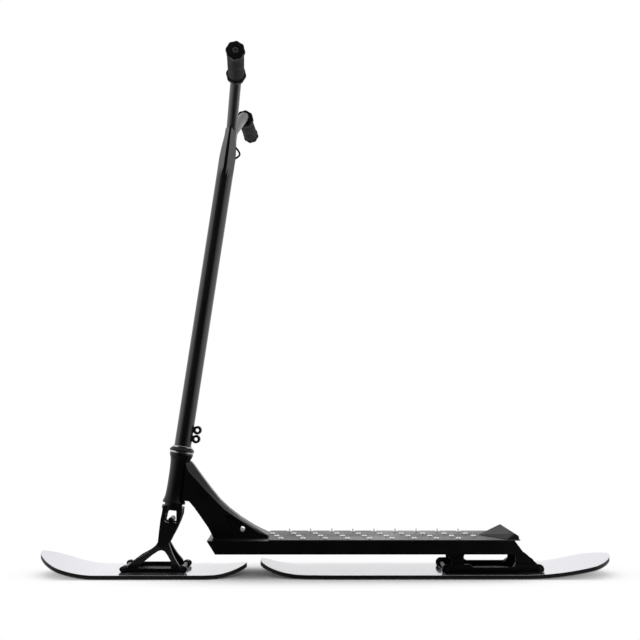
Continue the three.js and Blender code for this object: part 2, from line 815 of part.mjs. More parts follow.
// Fork: blade points are shares of the axle spacing and of the height from the axles to the crown
const bladeShares = [
  [0.638, 1.078], [0.602, 0.873], [0.58, 0.77], [0.56, 0.607], [0.538, 0.405], [0.504, 0.358],
  [0.457, 0.313], [0.397, 0.265], [0.332, 0.227], [0.206, 0.162], [0.053, 0.053], [0.02, -0.032],
  [0.17, -0.032], [0.256, 0.053], [0.361, 0.138], [0.467, 0.216], [0.559, 0.271], [0.614, 0.284],
  [0.67, 0.266], [0.72, 0.215], [0.789, 0.123], [0.806, -0.032], [0.95, -0.032], [0.94, 0.055],
  [0.914, 0.09], [0.857, 0.159], [0.797, 0.256], [0.734, 0.383], [0.782, 0.475], [0.846, 0.587],
  [0.912, 0.724], [0.959, 0.848], [0.968, 0.941], [0.97, 1.078],
];
const bladeWindowShares = [
  [0.651, 0.755], [0.679, 0.879], [0.728, 0.937], [0.838, 0.939], [0.861, 0.919], [0.861, 0.717],
  [0.82, 0.728], [0.69, 0.728],
];
const crossTubeShares = [0.763, 0.767];
const forkFootHalfWidth = frontBaseHalfWidth - baseWall - seat;
const crownTopOnAxis = -headLength - crownRaceThickness - seat * 2;

function bladePoint([xShare, zShare]) {
  const z = axleHeight + zShare * crownRun;
  return [frontMountX + xShare * frontAxleSpacing, Math.max(footBottom, z)];
}

// A blade is its outline in side view, kept where it lies between the faces of a strip that leans in to
// the waist and out again to the crown
function forkBlade(side) {
  const shape = outline(bladeShares.map(bladePoint));
  shape.holes.push(outline(bladeWindowShares.map(bladePoint)));
  const inner = side * (forkFootHalfWidth - forkBladeThickness);
  const outer = side * forkFootHalfWidth;
  const [y0, y1] = [Math.min(inner, outer), Math.max(inner, outer)];
  const lugs = [frontMountX, frontMountX + frontAxleSpacing].map((x) => lug(forkLugRadius, y0, y1, x));
  const outside = forkFaces().map(([height, half]) => [side * half, height]);
  const inside = forkFaces().map(([height, half]) => [side * (half - forkBladeThickness), height]);
  const strip = plate(outline([...outside, ...inside.reverse()]), -headLength, headLength);
  strip.rotateZ(Math.PI / 2).translate(frontMountX + frontAxleSpacing / 2, 0, 0);
  const wide = plate(shape, Math.min(0, y0 - overrun), Math.max(0, y1 + overrun));
  return add(keep(wide, strip), ...lugs);
}

// The outer face of a blade from foot to crown, as [height, half width] pairs
function forkFaces() {
  const crownHeight = axleHeight + crownRun;
  const past = crownHeight + (crownHeight - forkWaistHeight);
  return [[0, forkFootHalfWidth], [forkFootBendHeight, forkFootHalfWidth],
    [forkWaistHeight, forkWaistHalfWidth], [past, forkTopHalfWidth * 2 - forkWaistHalfWidth]];
}

function fork() {
  const crown = onAxis(uprightCylinder(crownRadius, crownTopOnAxis - crownThickness, crownTopOnAxis, fine));
  const steererLow = crownTopOnAxis - crownThickness / 2;
  const steerer = onAxis(uprightCylinder(steererRadius, steererLow, steererAboveHead, fine));
  const bore = onAxis(uprightCylinder(steererRadius - steererWall, crownTopOnAxis - crownThickness - overrun,
    steererAboveHead + overrun, fine));
  const above = onAxis(box(-headLength, headLength, -headLength, headLength, crownTopOnAxis, headLength));
  const blades = [-1, 1].map((side) => cut(forkBlade(side), above));
  const [tubeX, tubeZ] = bladePoint(crossTubeShares);
  const tubeHalf = forkTopHalfWidth;
  const crossTube = crossCylinder(crossTubeRadius, -tubeHalf, tubeHalf, tubeX, tubeZ);
  const bores = [frontMountX, frontMountX + frontAxleSpacing].map((x) => {
    return crossCylinder(axleRadius + seat, -frontBaseHalfWidth, frontBaseHalfWidth, x, axleHeight);
  });
  return cut(add(...blades, crossTube, crown, steerer), bore, ...bores);
}

// Headset parts round the steerer
function headsetCap() {
  const bottom = coverRingThickness + seat * 2;
  const bore = steererRadius + seat;
  const edge = bottom + capThickness * capEdgeShare;
  const top = bottom + capThickness;
  return turned([[bore, bottom], [capRadius, bottom], [capRadius, edge], [capTopRadius, top], [bore, top]]);
}

// Stem: round below, and pressed at its top to a deep narrow section with a ridge down each side, which
// the two risers enter. Each station is a share of the swage's length, and of the way that its depth, its
// ridge and its flat faces' shoulder have gone to their size at the top.
const swageStationShares = [
  [0.16, 0, 0, 0], [0.372, 0, 0.3, 0.12], [0.532, 0.225, 0.5, 0.35], [0.673, 0.514, 0.7, 0.6],
  [0.803, 0.91, 0.85, 0.88], [0.884, 1, 0.93, 0.96], [1, 1, 1, 1],
];

function stemLoop(height, halfDepth, reachAt) {
  const loop = [];
  for (const side of [1, -1]) {
    for (let i = 0; i <= fine / 2; i += 1) {
      const angle = (Math.PI * i) / (fine / 2);
      loop.push(new THREE.Vector3(side * halfDepth * Math.cos(angle), side * reachAt(angle), height));
    }
  }
  return loop;
}

function roundLoop(height, radius) {
  return stemLoop(height, radius, (angle) => radius * Math.sin(angle));
}

// A loop whose sides run straight from the shoulder to the ridge, which is a narrow flat
function ridgedLoop(height, halfDepth, ridge, shoulder) {
  return stemLoop(height, halfDepth, (angle) => {
    const fromFlat = Math.max(0, Math.abs(Math.cos(angle)) - swageRidgeFlatShare);
    return shoulder + (ridge - shoulder) * (1 - fromFlat / (1 - swageRidgeFlatShare));
  });
}

function stemOuter(extra) {
  const stations = swageStationShares.map(([along, depth, ridge, shoulder]) => ridgedLoop(
    swageStart + swageLength * along,
    stemRadius + (swageHalfDepth - stemRadius) * depth + extra,
    swageLowRidge + (swageTopRidge - swageLowRidge) * ridge + extra,
    swageTopShoulder * shoulder,
  ));
  const round = [stemBottom, swageStart].map((height) => roundLoop(height, stemRadius + extra));
  return loft([...round, ...stations]);
}

function clampEars() {
  const heights = [stemBottom + earLowHeight, stemBottom + earLowHeight + earSpacing];
  const half = clampSlot / 2 + earThickness;
  return heights.map((height) => {
    const eye = crossCylinder(earRadius, -half, half, earReach, height);
    const webHalf = earRadius * earWebShare;
    const web = box(stemRadius / 2, earReach, -half, half, height - webHalf, height + webHalf);
    const end = half + overrun;
    return cut(add(eye, web), crossCylinder(earHole, -end, end, earReach, height, coarse));
  });
}

function stemTube() {
  const lowBoreTop = steererAboveHead + compressionCapThickness + compressionBoltHeadThickness + overrun;
  const lowBore = uprightCylinder(steererRadius + seat, stemBottom - overrun, lowBoreTop, fine);
  const highBore = uprightCylinder(stemRadius - stemWall, lowBoreTop - overrun, swageStart, fine);
  const slot = box(stemRadius / 2, earReach * 2, -clampSlot / 2, clampSlot / 2, stemBottom - overrun,
    stemBottom + clampSlotHeight);
  const sockets = [-1, 1].map((side) => riserSolid(side, barRadius + seat, seat));
  return cut(add(stemOuter(0), ...clampEars()), lowBore, highBore, slot, ...sockets);
}

// Handlebar: each riser climbs out of the stem, bends to its slope and bends again to the grip
const riserRoot = stemTop - riserRootDepth;
const gripOuterEnd = barWidth / 2 - plugThickness - seat;
const gripInnerEnd = gripOuterEnd - gripLength;

// The slope between a riser's two bends is the line that touches both bends' circles
function riserSlope() {
  const across = gripInnerEnd - riserGripClearance - riserRootHalfSpacing - riserRootBend;
  const up = gripOnAxis - riserGripBend - riserRoot;
  const difference = riserGripBend - riserRootBend;
  const length = Math.sqrt(across ** 2 + up ** 2 - difference ** 2);
  return { length, angle: Math.atan2(up, across) + Math.atan2(difference, length) };
}

// Places along a riser in the plane across the scooter: [y, z, heading], from its root to the bar's end,
// with both ends run on by the extra length
function riserPlaces(extra) {
  const slope = riserSlope();
  let [y, z, heading] = [riserRootHalfSpacing, riserRoot - extra, Math.PI / 2];
  const places = [[y, z, heading]];
  const go = (length) => {
    y += length * Math.cos(heading);
    z += length * Math.sin(heading);
    places.push([y, z, heading]);
  };
  const bend = (radius, angle) => {
    const step = angle / bendSteps;
    const chord = 2 * radius * Math.sin(step / 2);
    for (let i = 0; i < bendSteps; i += 1) {
      y += chord * Math.cos(heading - step / 2);
      z += chord * Math.sin(heading - step / 2);
      heading -= step;
      places.push([y, z, heading]);
    }
  };
  if (extra > 0) go(extra);
  bend(riserRootBend, Math.PI / 2 - slope.angle);
  go(slope.length);
  bend(riserGripBend, slope.angle);
  go(gripOuterEnd + extra - y);
  return places;
}

function riserLoops(radius, extra) {
  return riserPlaces(extra).map(([y, z, heading]) => {
    return Array.from({ length: medium }, (_, i) => {
      const angle = (2 * Math.PI * i) / medium;
      const inPlane = radius * Math.cos(angle);
      return new THREE.Vector3(radius * Math.sin(angle), y + inPlane * Math.sin(heading),
        z - inPlane * Math.cos(heading));
    });
  });
}

// Swings a piece of the bar's right half back by its sweep, and mirrors it for the left
function barSide(side, geometry) {
  const swung = geometry.clone().rotateZ(-barSweep);
  return side > 0 ? swung : outward(swung.scale(1, -1, 1));
}

function riserSolid(side, radius, extra) {
  return barSide(side, loft(riserLoops(radius, extra)));
}

function riserTube(side) {
  return cut(riserSolid(side, barRadius, 0), riserSolid(side, barRadius - barWall, overrun));
}

// Turned pieces that lie along the grip, with their profile's heights measured out from the centre
function onGrip(geometry) {
  return geometry.rotateX(-Math.PI / 2).translate(0, 0, gripOnAxis);
}

function scalloped(geometry, fromRadius, depth) {
  const position = geometry.attributes.position;
  for (let i = 0; i < position.count; i += 1) {
    const [x, y] = [position.getX(i), position.getY(i)];
    const radius = Math.hypot(x, y);
    if (radius > fromRadius) {
      const wave = (1 - Math.cos(gripScallopCount * Math.atan2(y, x))) / 2;
      const scale = 1 - (depth * wave) / radius;
      position.setXY(i, x * scale, y * scale);
    }
  }
  return geometry;
}

function grip() {
  const bore = barRadius + seat;
  const flange = gripInnerEnd + gripFlangeThickness;
  const endFlange = gripOuterEnd - gripEndFlangeThickness;
  const ease = gripScallop;
  const profile = [
    [bore, gripInnerEnd], [gripRadius, gripInnerEnd], [gripFlangeRadius, gripInnerEnd + ease * 3],
    [gripFlangeRadius, flange - ease * 2], [gripRadius, flange], [gripRadius, endFlange - ease * 2],
    [gripEndFlangeRadius, endFlange], [gripEndFlangeRadius, gripOuterEnd], [bore, gripOuterEnd],
  ];
  return onGrip(scalloped(turned(profile, gripSides), gripRadius + seat, gripScallop));
}

function barPlug() {
  const face = gripOuterEnd + seat;
  const end = barWidth / 2;
  const spigot = barRadius - barWall - seat;
  const bore = plugScrewShank + seat;
  const profile = [
    [bore, face - plugSpigot], [spigot, face - plugSpigot], [spigot, face], [plugRadius, face],
    [plugRadius, end - plugRecess / 2], [plugRadius - plugRecess, end], [plugScrewRadius + seat * 2, end],
    [plugScrewRadius + seat, end - plugRecess], [bore, end - plugRecess],
  ];
  return onGrip(scalloped(turned(profile, plugSides), plugRadius - plugRecess, gripScallop));
}

function plugScrew() {
  const end = barWidth / 2 - seat;
  const under = end - plugRecess + seat * 2;
  const profile = [[0, end - plugSpigot], [plugScrewShank, end - plugSpigot], [plugScrewShank, under],
    [plugScrewRadius, under], [plugScrewRadius, end], [0, end]];
  const socket = uprightCylinder(plugScrewSocket, under + seat, end + overrun, hexSides);
  return onGrip(cut(turned(profile, coarse), socket));
}

// Leash loop: a bent rod behind the swaged top
function leashLoop() {
  const foot = stemRadius / 2;
  const middle = stemTop - leashFromTop;
  const leashShares = [[0, 0.58], [0.5, 0.38], [1, -0.02], [0.5, -0.36], [0, -0.6]];
  const points = leashShares.map(([out, along]) => {
    return new THREE.Vector3(foot + (leashReach - foot) * out, 0, middle + leashHeight * along);
  });
  const rod = alongPath(circleShape(leashRod), new THREE.CatmullRomCurve3(points), coarse, rodSides);
  return cut(rod, stemOuter(seat));
}

// Compression parts on top of the steerer
function compressionCap() {
  const bottom = steererAboveHead + seat;
  return ring(steererRadius, compressionBoltRadius + seat, bottom, bottom + compressionCapThickness);
}

function compressionBolt() {
  const headBottom = steererAboveHead + compressionCapThickness + seat * 2;
  const headTop = headBottom + compressionBoltHeadThickness;
  const head = uprightCylinder(compressionBoltHeadRadius, headBottom, headTop);
  const shank = uprightCylinder(compressionBoltRadius, headBottom - compressionBoltLength,
    headBottom + compressionBoltHeadThickness / 2);
  const socket = uprightCylinder(compressionBoltRadius / 2, headBottom + compressionBoltHeadThickness / 2,
    headTop + overrun, hexSides);
  return cut(add(head, shank), socket);
}

function starNut() {
  const top = steererAboveHead - compressionBoltLength / 2;
  return ring(steererRadius - steererWall - seat, compressionBoltRadius + seat, top - starNutThickness, top);
}

// Chassis: neck, deck and what they carry
mesh(part, 'deck_box', deckBox(), blackMetal);
mesh(part, 'neck', neckBody(), blackMetal);
mesh(steering, 'head_tube', headTube(), blackMetal);
mesh(part, 'grip_plate', gripPlate(), plateMetal);
mesh(part, 'tail_wedge', tailWedge(), blackPlastic);
mesh(part, 'rear_bracket', rearBracket(), blackMetal);
bracketBoltPlaces().forEach(([x, y], i) => {
  mesh(part, `bracket_bolt_${i + 1}`, bracketBolt(x, y), silverMetal);
});
const rearSki = { noseX: tailX - rearSkiLength, length: rearSkiLength, nose: rearNose, tail: rearTail };
skiWithMount('rear', rearSki, {
  frontX: rearMountX,
  spacing: rearAxleSpacing,
  halfWidth: rearBaseHalfWidth,
  wallTop: rearBaseWallTop,
  knuckleRise: rearKnuckleRise,
  raisedRun: rearRaisedRun,
  carriedHalfWidth: bracketHalfWidth - bracketWall,
});
mesh(steering, 'upper_bearing', ring(bearingRadius, steererRadius + seat, -bearingThickness, 0), silverMetal);
mesh(steering, 'lower_bearing',
  ring(bearingRadius, steererRadius + seat, -headLength, bearingThickness - headLength), silverMetal);

// Steering assembly: fork, front ski, headset, stem and handlebar
mesh(part, 'fork', fork(), blackMetal);
const frontSki = { noseX, length: frontSkiLength, nose: frontNose, tail: frontTail };
skiWithMount('front', frontSki, {
  frontX: frontMountX,
  spacing: frontAxleSpacing,
  halfWidth: frontBaseHalfWidth,
  wallTop: frontBaseWallTop,
  knuckleRise: frontKnuckleRise,
  raisedRun: 0,
  carriedHalfWidth: forkFootHalfWidth - forkBladeThickness,
});
mesh(steering, 'crown_race', ring(crownRaceRadius, steererRadius + seat, crownTopOnAxis + seat,
  crownTopOnAxis + seat + crownRaceThickness), blackMetal);
mesh(steering, 'bearing_cover_ring',
  ring(coverRingRadius, steererRadius + seat, seat, seat + coverRingThickness), silverMetal);
mesh(steering, 'headset_cap', headsetCap(), blackPlastic);
const spacerTop = stemBottom - seat;
mesh(steering, 'spacer_ring',
  ring(spacerRingRadius, steererRadius + seat, spacerTop - spacerRingThickness, spacerTop), silverMetal);
mesh(steering, 'stem_tube', stemTube(), blackMetal);
mesh(steering, 'leash_loop', leashLoop(), blackMetal);
mesh(steering, 'star_nut', starNut(), silverMetal);
mesh(steering, 'compression_cap', compressionCap(), silverMetal);
mesh(steering, 'compression_bolt', compressionBolt(), silverMetal);
[['left', -1], ['right', 1]].forEach(([label, side]) => {
  mesh(steering, `${label}_riser`, riserTube(side), blackMetal);
  mesh(steering, `${label}_grip`, barSide(side, grip()), blackRubber);
  mesh(steering, `${label}_bar_plug`, barSide(side, barPlug()), blackPlastic);
  mesh(steering, `${label}_plug_screw`, barSide(side, plugScrew()), silverMetal);
});

part.add(steering);
export default part;
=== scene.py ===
"""Snow scooter: finishes, fine surfaces, studio and camera over the fixed frame of the part.

Metres. X runs from the front ski to the rear ski, Z is up, -Y is the rider's left side.
"""

import json
import math

import bmesh
import bpy
import numpy as np
from mathutils import Matrix, Vector


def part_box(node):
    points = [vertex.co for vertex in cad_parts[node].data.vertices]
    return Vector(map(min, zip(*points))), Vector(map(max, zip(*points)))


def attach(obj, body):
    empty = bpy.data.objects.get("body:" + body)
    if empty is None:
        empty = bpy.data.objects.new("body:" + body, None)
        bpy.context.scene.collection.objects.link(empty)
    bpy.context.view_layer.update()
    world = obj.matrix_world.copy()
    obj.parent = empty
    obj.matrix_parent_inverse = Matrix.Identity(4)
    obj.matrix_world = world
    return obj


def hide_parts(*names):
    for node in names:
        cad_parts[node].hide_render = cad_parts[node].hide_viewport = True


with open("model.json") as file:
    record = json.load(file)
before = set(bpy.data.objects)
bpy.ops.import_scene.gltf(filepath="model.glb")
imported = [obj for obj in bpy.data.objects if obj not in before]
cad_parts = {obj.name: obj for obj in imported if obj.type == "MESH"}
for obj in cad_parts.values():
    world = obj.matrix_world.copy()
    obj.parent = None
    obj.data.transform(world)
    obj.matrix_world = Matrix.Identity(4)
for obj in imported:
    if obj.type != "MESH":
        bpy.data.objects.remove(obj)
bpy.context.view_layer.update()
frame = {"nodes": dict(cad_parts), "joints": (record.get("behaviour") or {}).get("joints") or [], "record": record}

bl_info = {
    "name": "Snow scooter",
    "version": (1, 0, 0),
    "blender": (4, 5, 0),
    "location": "View3D > Sidebar > Snow scooter",
    "description": "Makes the fine surfaces and finishes of a scooter on two skis",
    "category": "Add Mesh",
}

MERGE = 1e-6
SHARP = math.radians(33)
FLAT = math.radians(0.4)
STEERING_TOP = Vector(frame["joints"][0]["pos_m"])
STEERING_AXIS = Vector(frame["joints"][0]["axis"]).normalized()
# Carries Z onto the steering axis, and the origin to the centre of the head tube's top
STEERING_LEAN = math.atan2(STEERING_AXIS.x, STEERING_AXIS.z)
STEERING_FRAME = Matrix.Translation(STEERING_TOP) @ Matrix.Rotation(STEERING_LEAN, 4, "Y")
BODY_OF = {node: body for body, nodes in frame["record"]["behaviour"]["bodies"].items() for node in nodes}
SLOT_OF = {entry["node"]: entry["material_slot"] for entry in frame["record"]["subparts"]}


def linear(code):
    """An sRGB hex colour such as #8A8A8C as three linear shares."""
    shares = [int(code[i:i + 2], 16) / 255 for i in (1, 3, 5)]
    return tuple(s / 12.92 if s <= 0.04045 else ((s + 0.055) / 1.055) ** 2.4 for s in shares)


def quantity(name, default, description, **kind):
    """A plain number, whose description names its unit, unless the kind gives it one."""
    return bpy.props.FloatProperty(name=name, description=description, default=default, **kind)


def metres(name, default, description):
    """A length in metres that the sidebar shows in the scene's unit."""
    return quantity(name, default, description, precision=5, unit="LENGTH", subtype="DISTANCE")


def degrees(name, default, description):
    """An angle, given in degrees and kept in radians."""
    return quantity(name, math.radians(default), description, subtype="ANGLE")


def numbers(name, default, description, **kind):
    """Several numbers under one name."""
    return bpy.props.FloatVectorProperty(name=name, description=description, default=default,
                                         size=len(default), **kind)


def ski_end(name, default, description):
    """A ski end: its run, rise, rise power, rounded length and fullness."""
    return numbers(name, default, description)


def location(name, default, description):
    """A place in metres."""
    return numbers(name, default, description, subtype="TRANSLATION", unit="LENGTH")


def hex_colour(name, code, description):
    """A colour given as an sRGB hex value."""
    return numbers(name, linear(code), description, min=0, max=1, subtype="COLOR")


# Sizes and colours that a user would change
class SkiSizes(bpy.types.PropertyGroup):
    thickness: metres("Thickness", 0.009, "Height of the ski from its base to its top sheet")
    tip_width: metres("Tip width", 0.006, "Width left flat at the very tip")
    top_sheet: metres("Top sheet", 0.0004, "Thickness of the glossy top sheet")
    top_drop: metres("Top edge drop", 0.0002, "How far the top sheet rolls down at its edge")
    wall_lean: metres("Side wall lean", 0.0004, "How far the side wall leans in at its top")
    steel_width: metres("Steel edge width", 0.0018, "Width of the steel edge strip")
    steel_height: metres("Steel edge height", 0.0011, "Height of the steel edge strip")
    # The three pad sizes shape a black pad painted under each mount as the mount's reflection and shadow on the
    # glossy top sheet
    pad_thickness: metres("Pad thickness", 0.0011, "Thickness of the black pad under a mount")
    pad_margin: metres("Pad margin", 0.003, "Distance of a pad's sides inside the mount's and the ski's")
    pad_corner: metres("Pad corner", 0.006, "Radius of a pad's corners")
    front_nose: ski_end("Front ski nose", (0.124, 0.037, 1.94, 0.055, 1.66), "Shape of the front ski's nose")
    front_tail: ski_end("Front ski tail", (0.062, 0.0135, 1.74, 0.087, 1.67), "Shape of the front ski's tail")
    rear_nose: ski_end("Rear ski nose", (0.094, 0.020, 2.3, 0.202, 3.05), "Shape of the rear ski's nose")
    rear_tail: ski_end("Rear ski tail", (0.195, 0.031, 2.04, 0.052, 1.64), "Shape of the rear ski's tail")


class DeckSizes(bpy.types.PropertyGroup):
    plate_thickness: metres("Plate thickness", 0.0018, "Thickness of the grip plate")
    plate_corner: metres("Plate corner", 0.004, "Radius of the plate's corners")
    plate_edge: metres("Plate edge", 0.0004, "Rounding of the plate's edges")
    stud_pitch: metres("Stud pitch", 0.0449, "Distance between studs along a row")
    stud_row_spacing: metres("Stud row spacing", 0.037, "Distance between the rows of studs")
    stud_first: metres("First stud", 0.0062, "Place of the foremost stud behind the plate's front")
    stud_last: metres("Last stud", 0.4235, "No stud stands further behind the plate's front than this")
    stud_flange: metres("Stud flange", 0.0054, "Radius of a stud's flange")
    stud_flange_height: metres("Stud flange height", 0.0024, "Height of a stud's flange")
    stud_spike: metres("Stud spike", 0.0015, "Radius of a stud's spike at its foot")
    stud_height: metres("Stud height", 0.0064, "Height of a stud above the plate")


class BarSizes(bpy.types.PropertyGroup):
    width: metres("Bar width", 0.6, "Width over both bar plugs")
    grip_height: metres("Grip height", 0.9995, "Height of the grips' middle above the snow")
    radius: metres("Bar radius", 0.0111, "Outer radius of the bar tube")
    wall: metres("Bar wall", 0.002, "Wall of the bar tube")
    root_spacing: metres("Root half spacing", 0.0118, "Half the distance between the two risers' feet")
    root_drop: metres("Root drop", 0.0863, "Depth of the risers' feet below the grips' axis")
    root_bend: metres("Root bend", 0.024, "Bend radius at the foot of a riser")
    grip_bend: metres("Grip bend", 0.036, "Bend radius between a riser and its grip")
    bend_clearance: metres("Bend clearance", 0.0017, "Straight bar between a riser's bend and its grip")
    sweep: degrees("Back sweep", 3.1, "How far the grips are swept back")


class GripSizes(bpy.types.PropertyGroup):
    length: metres("Grip length", 0.143, "Length of a grip")
    radius: metres("Grip radius", 0.0162, "Outer radius of the rubber")
    flange: metres("Flange radius", 0.0203, "Radius of the inner flange")
    flange_length: metres("Flange length", 0.015, "Length of the inner flange")
    end_flange: metres("End flange radius", 0.0186, "Radius of the outer flange")
    end_flange_length: metres("End flange length", 0.006, "Length of the outer flange")
    scallop: metres("Scallop depth", 0.0013, "Depth of the scallops round the flanges")
    rib_pitch: metres("Rib pitch", 0.0036, "Distance between the fine ribs")
    rib_depth: metres("Rib depth", 0.00035, "Depth of the fine ribs")
    plug_radius: metres("Plug radius", 0.0184, "Radius of the bar plug")
    plug_length: metres("Plug length", 0.0065, "Length of the bar plug outside the grip")
    plug_recess: metres("Plug recess", 0.0024, "Depth of the recess round the plug screw")
    plug_spigot: metres("Plug spigot", 0.01573, "Length of the bar plug and its screw inside the bar")
    screw_radius: metres("Plug screw radius", 0.0056, "Radius of the plug screw's head")
    gap: metres("Seat gap", 0.0003, "Gap between pieces that touch")


class HeadSizes(bpy.types.PropertyGroup):
    length: metres("Head tube length", 0.1035, "Length of the head tube")
    radius: metres("Head tube radius", 0.0243, "Radius of the head tube at its top")
    waist: metres("Head tube waist", 0.019, "Radius of the head tube at its waist")
    bore: metres("Head tube bore", 0.0154, "Radius of the head tube's bore")
    bearing: metres("Bearing radius", 0.0192, "Radius of the bearings")
    bearing_depth: metres("Bearing depth", 0.008, "Depth of the bearings")
    steerer: metres("Steerer radius", 0.0143, "Radius of the fork's steerer")
    ring: metres("Cover ring radius", 0.0252, "Radius of the silver cover ring")
    ring_height: metres("Cover ring height", 0.0042, "Height of the silver cover ring")
    cap: metres("Cap radius", 0.0255, "Radius of the black headset cap")
    cap_top: metres("Cap top radius", 0.0215, "Radius of the cap's top")
    cap_height: metres("Cap height", 0.0064, "Height of the black headset cap")
    spacer: metres("Spacer radius", 0.0196, "Radius of the silver spacer ring")
    spacer_height: metres("Spacer height", 0.0038, "Height of the silver spacer ring")
    chamfer: metres("Ring chamfer", 0.0006, "Chamfer of the rings' edges")


class Finishes(bpy.types.PropertyGroup):
    powder: hex_colour("Powder coat", "#060607", "Satin black of the frame, fork and mounts")
    paint: hex_colour("Stoved paint", "#080809", "Half-gloss black of the stem and the handlebar tubes")
    # The mount pads in this black are painted reflection and shade on the skis' top sheets
    plastic: hex_colour("Moulded plastic", "#0C0C0D", "Matt black of wedge, cap, bar plugs and mount pads")
    rubber: hex_colour("Rubber", "#101011", "Black of the grips")
    steel: hex_colour("Steel", "#C6C8CB", "Zinc-plated steel of rings, screws, ski edges and stud spikes")
    aluminium: hex_colour("Aluminium", "#5E5E61", "Brushed sheet of the grip plate")
    studs: hex_colour("Studs", "#FAFAFC", "Frosted nickel of the studs' flanges")
    sheet: hex_colour("Top sheet", "#C9C7D3", "Glossy pale sheet on the skis")
    wall: hex_colour("Side wall", "#0E0D0F", "Black side wall of the skis")
    base: hex_colour("Running base", "#0E0D0F", "Black running base of the skis")
    floor: hex_colour("Floor", "#F4F4F4", "Pale studio floor")


class Studio(bpy.types.PropertyGroup):
    camera: location("Camera place", (-0.05685, -2.1, 0.35235), "Place of the lens")
    yaw: degrees("Yaw", 1.15, "Turn of the camera to its right")
    pitch: degrees("Pitch", 4.6878, "Tilt of the camera upwards")
    roll: degrees("Roll", 0.15, "Roll of the camera")
    lens: quantity("Lens", 56.25, "Focal length in millimetres")
    lamp: location("Lamp place", (-0.4, 0.5, 2.4), "Place of the soft lamp")
    lamp_size: metres("Lamp size", 3.0, "Side of the square soft lamp")
    lamp_power: quantity("Lamp power", 36, "Power of the soft lamp in watts")
    sky: quantity("Room light", 0.74, "Strength of the light from all around")


GROUPS = {
    "ski_sizes": SkiSizes, "deck_sizes": DeckSizes, "bar_sizes": BarSizes, "grip_sizes": GripSizes,
    "head_sizes": HeadSizes, "finishes": Finishes, "studio": Studio,
}


# Meshes
def points(*columns):
    """Points from their coordinates, which are arrays or numbers that stretch to one shape."""
    return np.stack(np.broadcast_arrays(*columns), axis=-1)


def loop_faces(rows, columns, wrap_rows):
    """Quads between neighbouring closed loops of a stack: row r and r + 1, column c and c + 1."""
    r, c = np.meshgrid(np.arange(rows if wrap_rows else rows - 1), np.arange(columns), indexing="ij")
    below, beside = (r + 1) % rows, (c + 1) % columns
    corners = [r * columns + c, r * columns + beside, below * columns + beside, below * columns + c]
    return np.stack(corners, axis=-1).reshape(-1, 4)


def linked(name, data):
    """A new object in the scene with this data."""
    piece = bpy.data.objects.new(name, data)
    bpy.context.scene.collection.objects.link(piece)
    return piece


def merged(mesh):
    """The mesh opened for editing, with its doubles merged."""
    work = bmesh.new()
    work.from_mesh(mesh)
    bmesh.ops.remove_doubles(work, verts=work.verts, dist=MERGE)
    return work


def piece_from(name, mesh, work, material):
    """The edited mesh as a piece: smooth apart from its sharp edges, in its material."""
    work.to_mesh(mesh)
    work.free()
    mesh.shade_smooth()
    mesh.set_sharp_from_angle(angle=SHARP)
    mesh.materials.append(material)
    return linked(name, mesh)


def closed_piece(name, places, faces, material):
    """A mesh piece through these places: doubles merged and faces turned outwards."""
    mesh = bpy.data.meshes.new(name)
    mesh.from_pydata(places.reshape(-1, 3).tolist(), [], faces.tolist())
    work = merged(mesh)
    bmesh.ops.recalc_face_normals(work, faces=work.faces)
    return piece_from(name, mesh, work, material)


def surface(name, loops, material, wrap_rows=False):
    """A closed surface through a stack of closed loops, (rows, columns, 3). Unless the stack itself
    closes, each end loop is drawn in to its own centre."""
    if not wrap_rows:
        ends = [np.broadcast_to(loops[i].mean(axis=0), loops[i].shape) for i in (0, -1)]
        loops = np.concatenate([ends[0][None], loops, ends[1][None]])
    return closed_piece(name, loops, loop_faces(len(loops), loops.shape[1], wrap_rows), material)


def surfaces(name, stacks, material):
    """Several closed stacks of the same shape, (copies, rows, columns, 3), as one piece."""
    copies, rows, columns, _ = stacks.shape
    faces = loop_faces(rows, columns, False)
    starts = (np.arange(copies) * rows * columns)[:, None, None]
    return closed_piece(name, stacks, (faces[None] + starts).reshape(-1, 4), material)


def angles(count):
    """Evenly spaced angles once round a circle."""
    return np.arange(count) * (2 * math.pi / count)


def turned(profile, sides, scale=None):
    """Loops of a turned shape: each [radius, height] of the profile swept round Z. scale, a function of
    radius and angle as arrays, gives the share by which each radius is drawn in."""
    radius, height = np.asarray(profile, float).T[:, :, None]
    turn = angles(sides)
    if scale is not None:
        radius = radius * scale(radius, turn)
    return points(radius * np.cos(turn), radius * np.sin(turn), height)


def placed(loops, matrix):
    """Loops carried through a 4 x 4 matrix."""
    m = np.array(matrix)
    return loops @ m[:3, :3].T + m[:3, 3]


def chamfered(profile, size):
    """A closed profile of [radius, height] corners with each corner cut by the given size: each corner
    becomes two points, a step back and a step on along its two sides."""
    corners = np.asarray(profile, float)
    back = np.roll(corners, 1, axis=0) - corners
    on = np.roll(corners, -1, axis=0) - corners
    steps = [side / np.linalg.norm(side, axis=1, keepdims=True) * size for side in (back, on)]
    return np.stack([corners + steps[0], corners + steps[1]], axis=1).reshape(-1, 2)


def eased(places, shares, count):
    """Values at evenly spaced places on a smooth curve through given points: cubic Hermite stretches
    whose slope at a point is the harmonic mean of the slopes beside it, or none where these differ in
    sign, so that it never overshoots."""
    x, y = np.asarray(places, float), np.asarray(shares, float)
    slope = np.diff(y) / np.diff(x)
    inner = np.where(slope[:-1] * slope[1:] > 0, 2 * slope[:-1] * slope[1:] / (slope[:-1] + slope[1:]), 0)
    tangent = np.concatenate([slope[:1], inner, slope[-1:]])
    at = np.linspace(x[0], x[-1], count)
    i = np.clip(np.searchsorted(x, at) - 1, 0, len(x) - 2)
    span = x[i + 1] - x[i]
    t = (at - x[i]) / span
    value = (y[i] * (2 * t ** 3 - 3 * t ** 2 + 1) + y[i + 1] * (3 * t ** 2 - 2 * t ** 3)
             + span * (tangent[i] * (t ** 3 - 2 * t ** 2 + t) + tangent[i + 1] * (t ** 3 - t ** 2)))
    return at, value


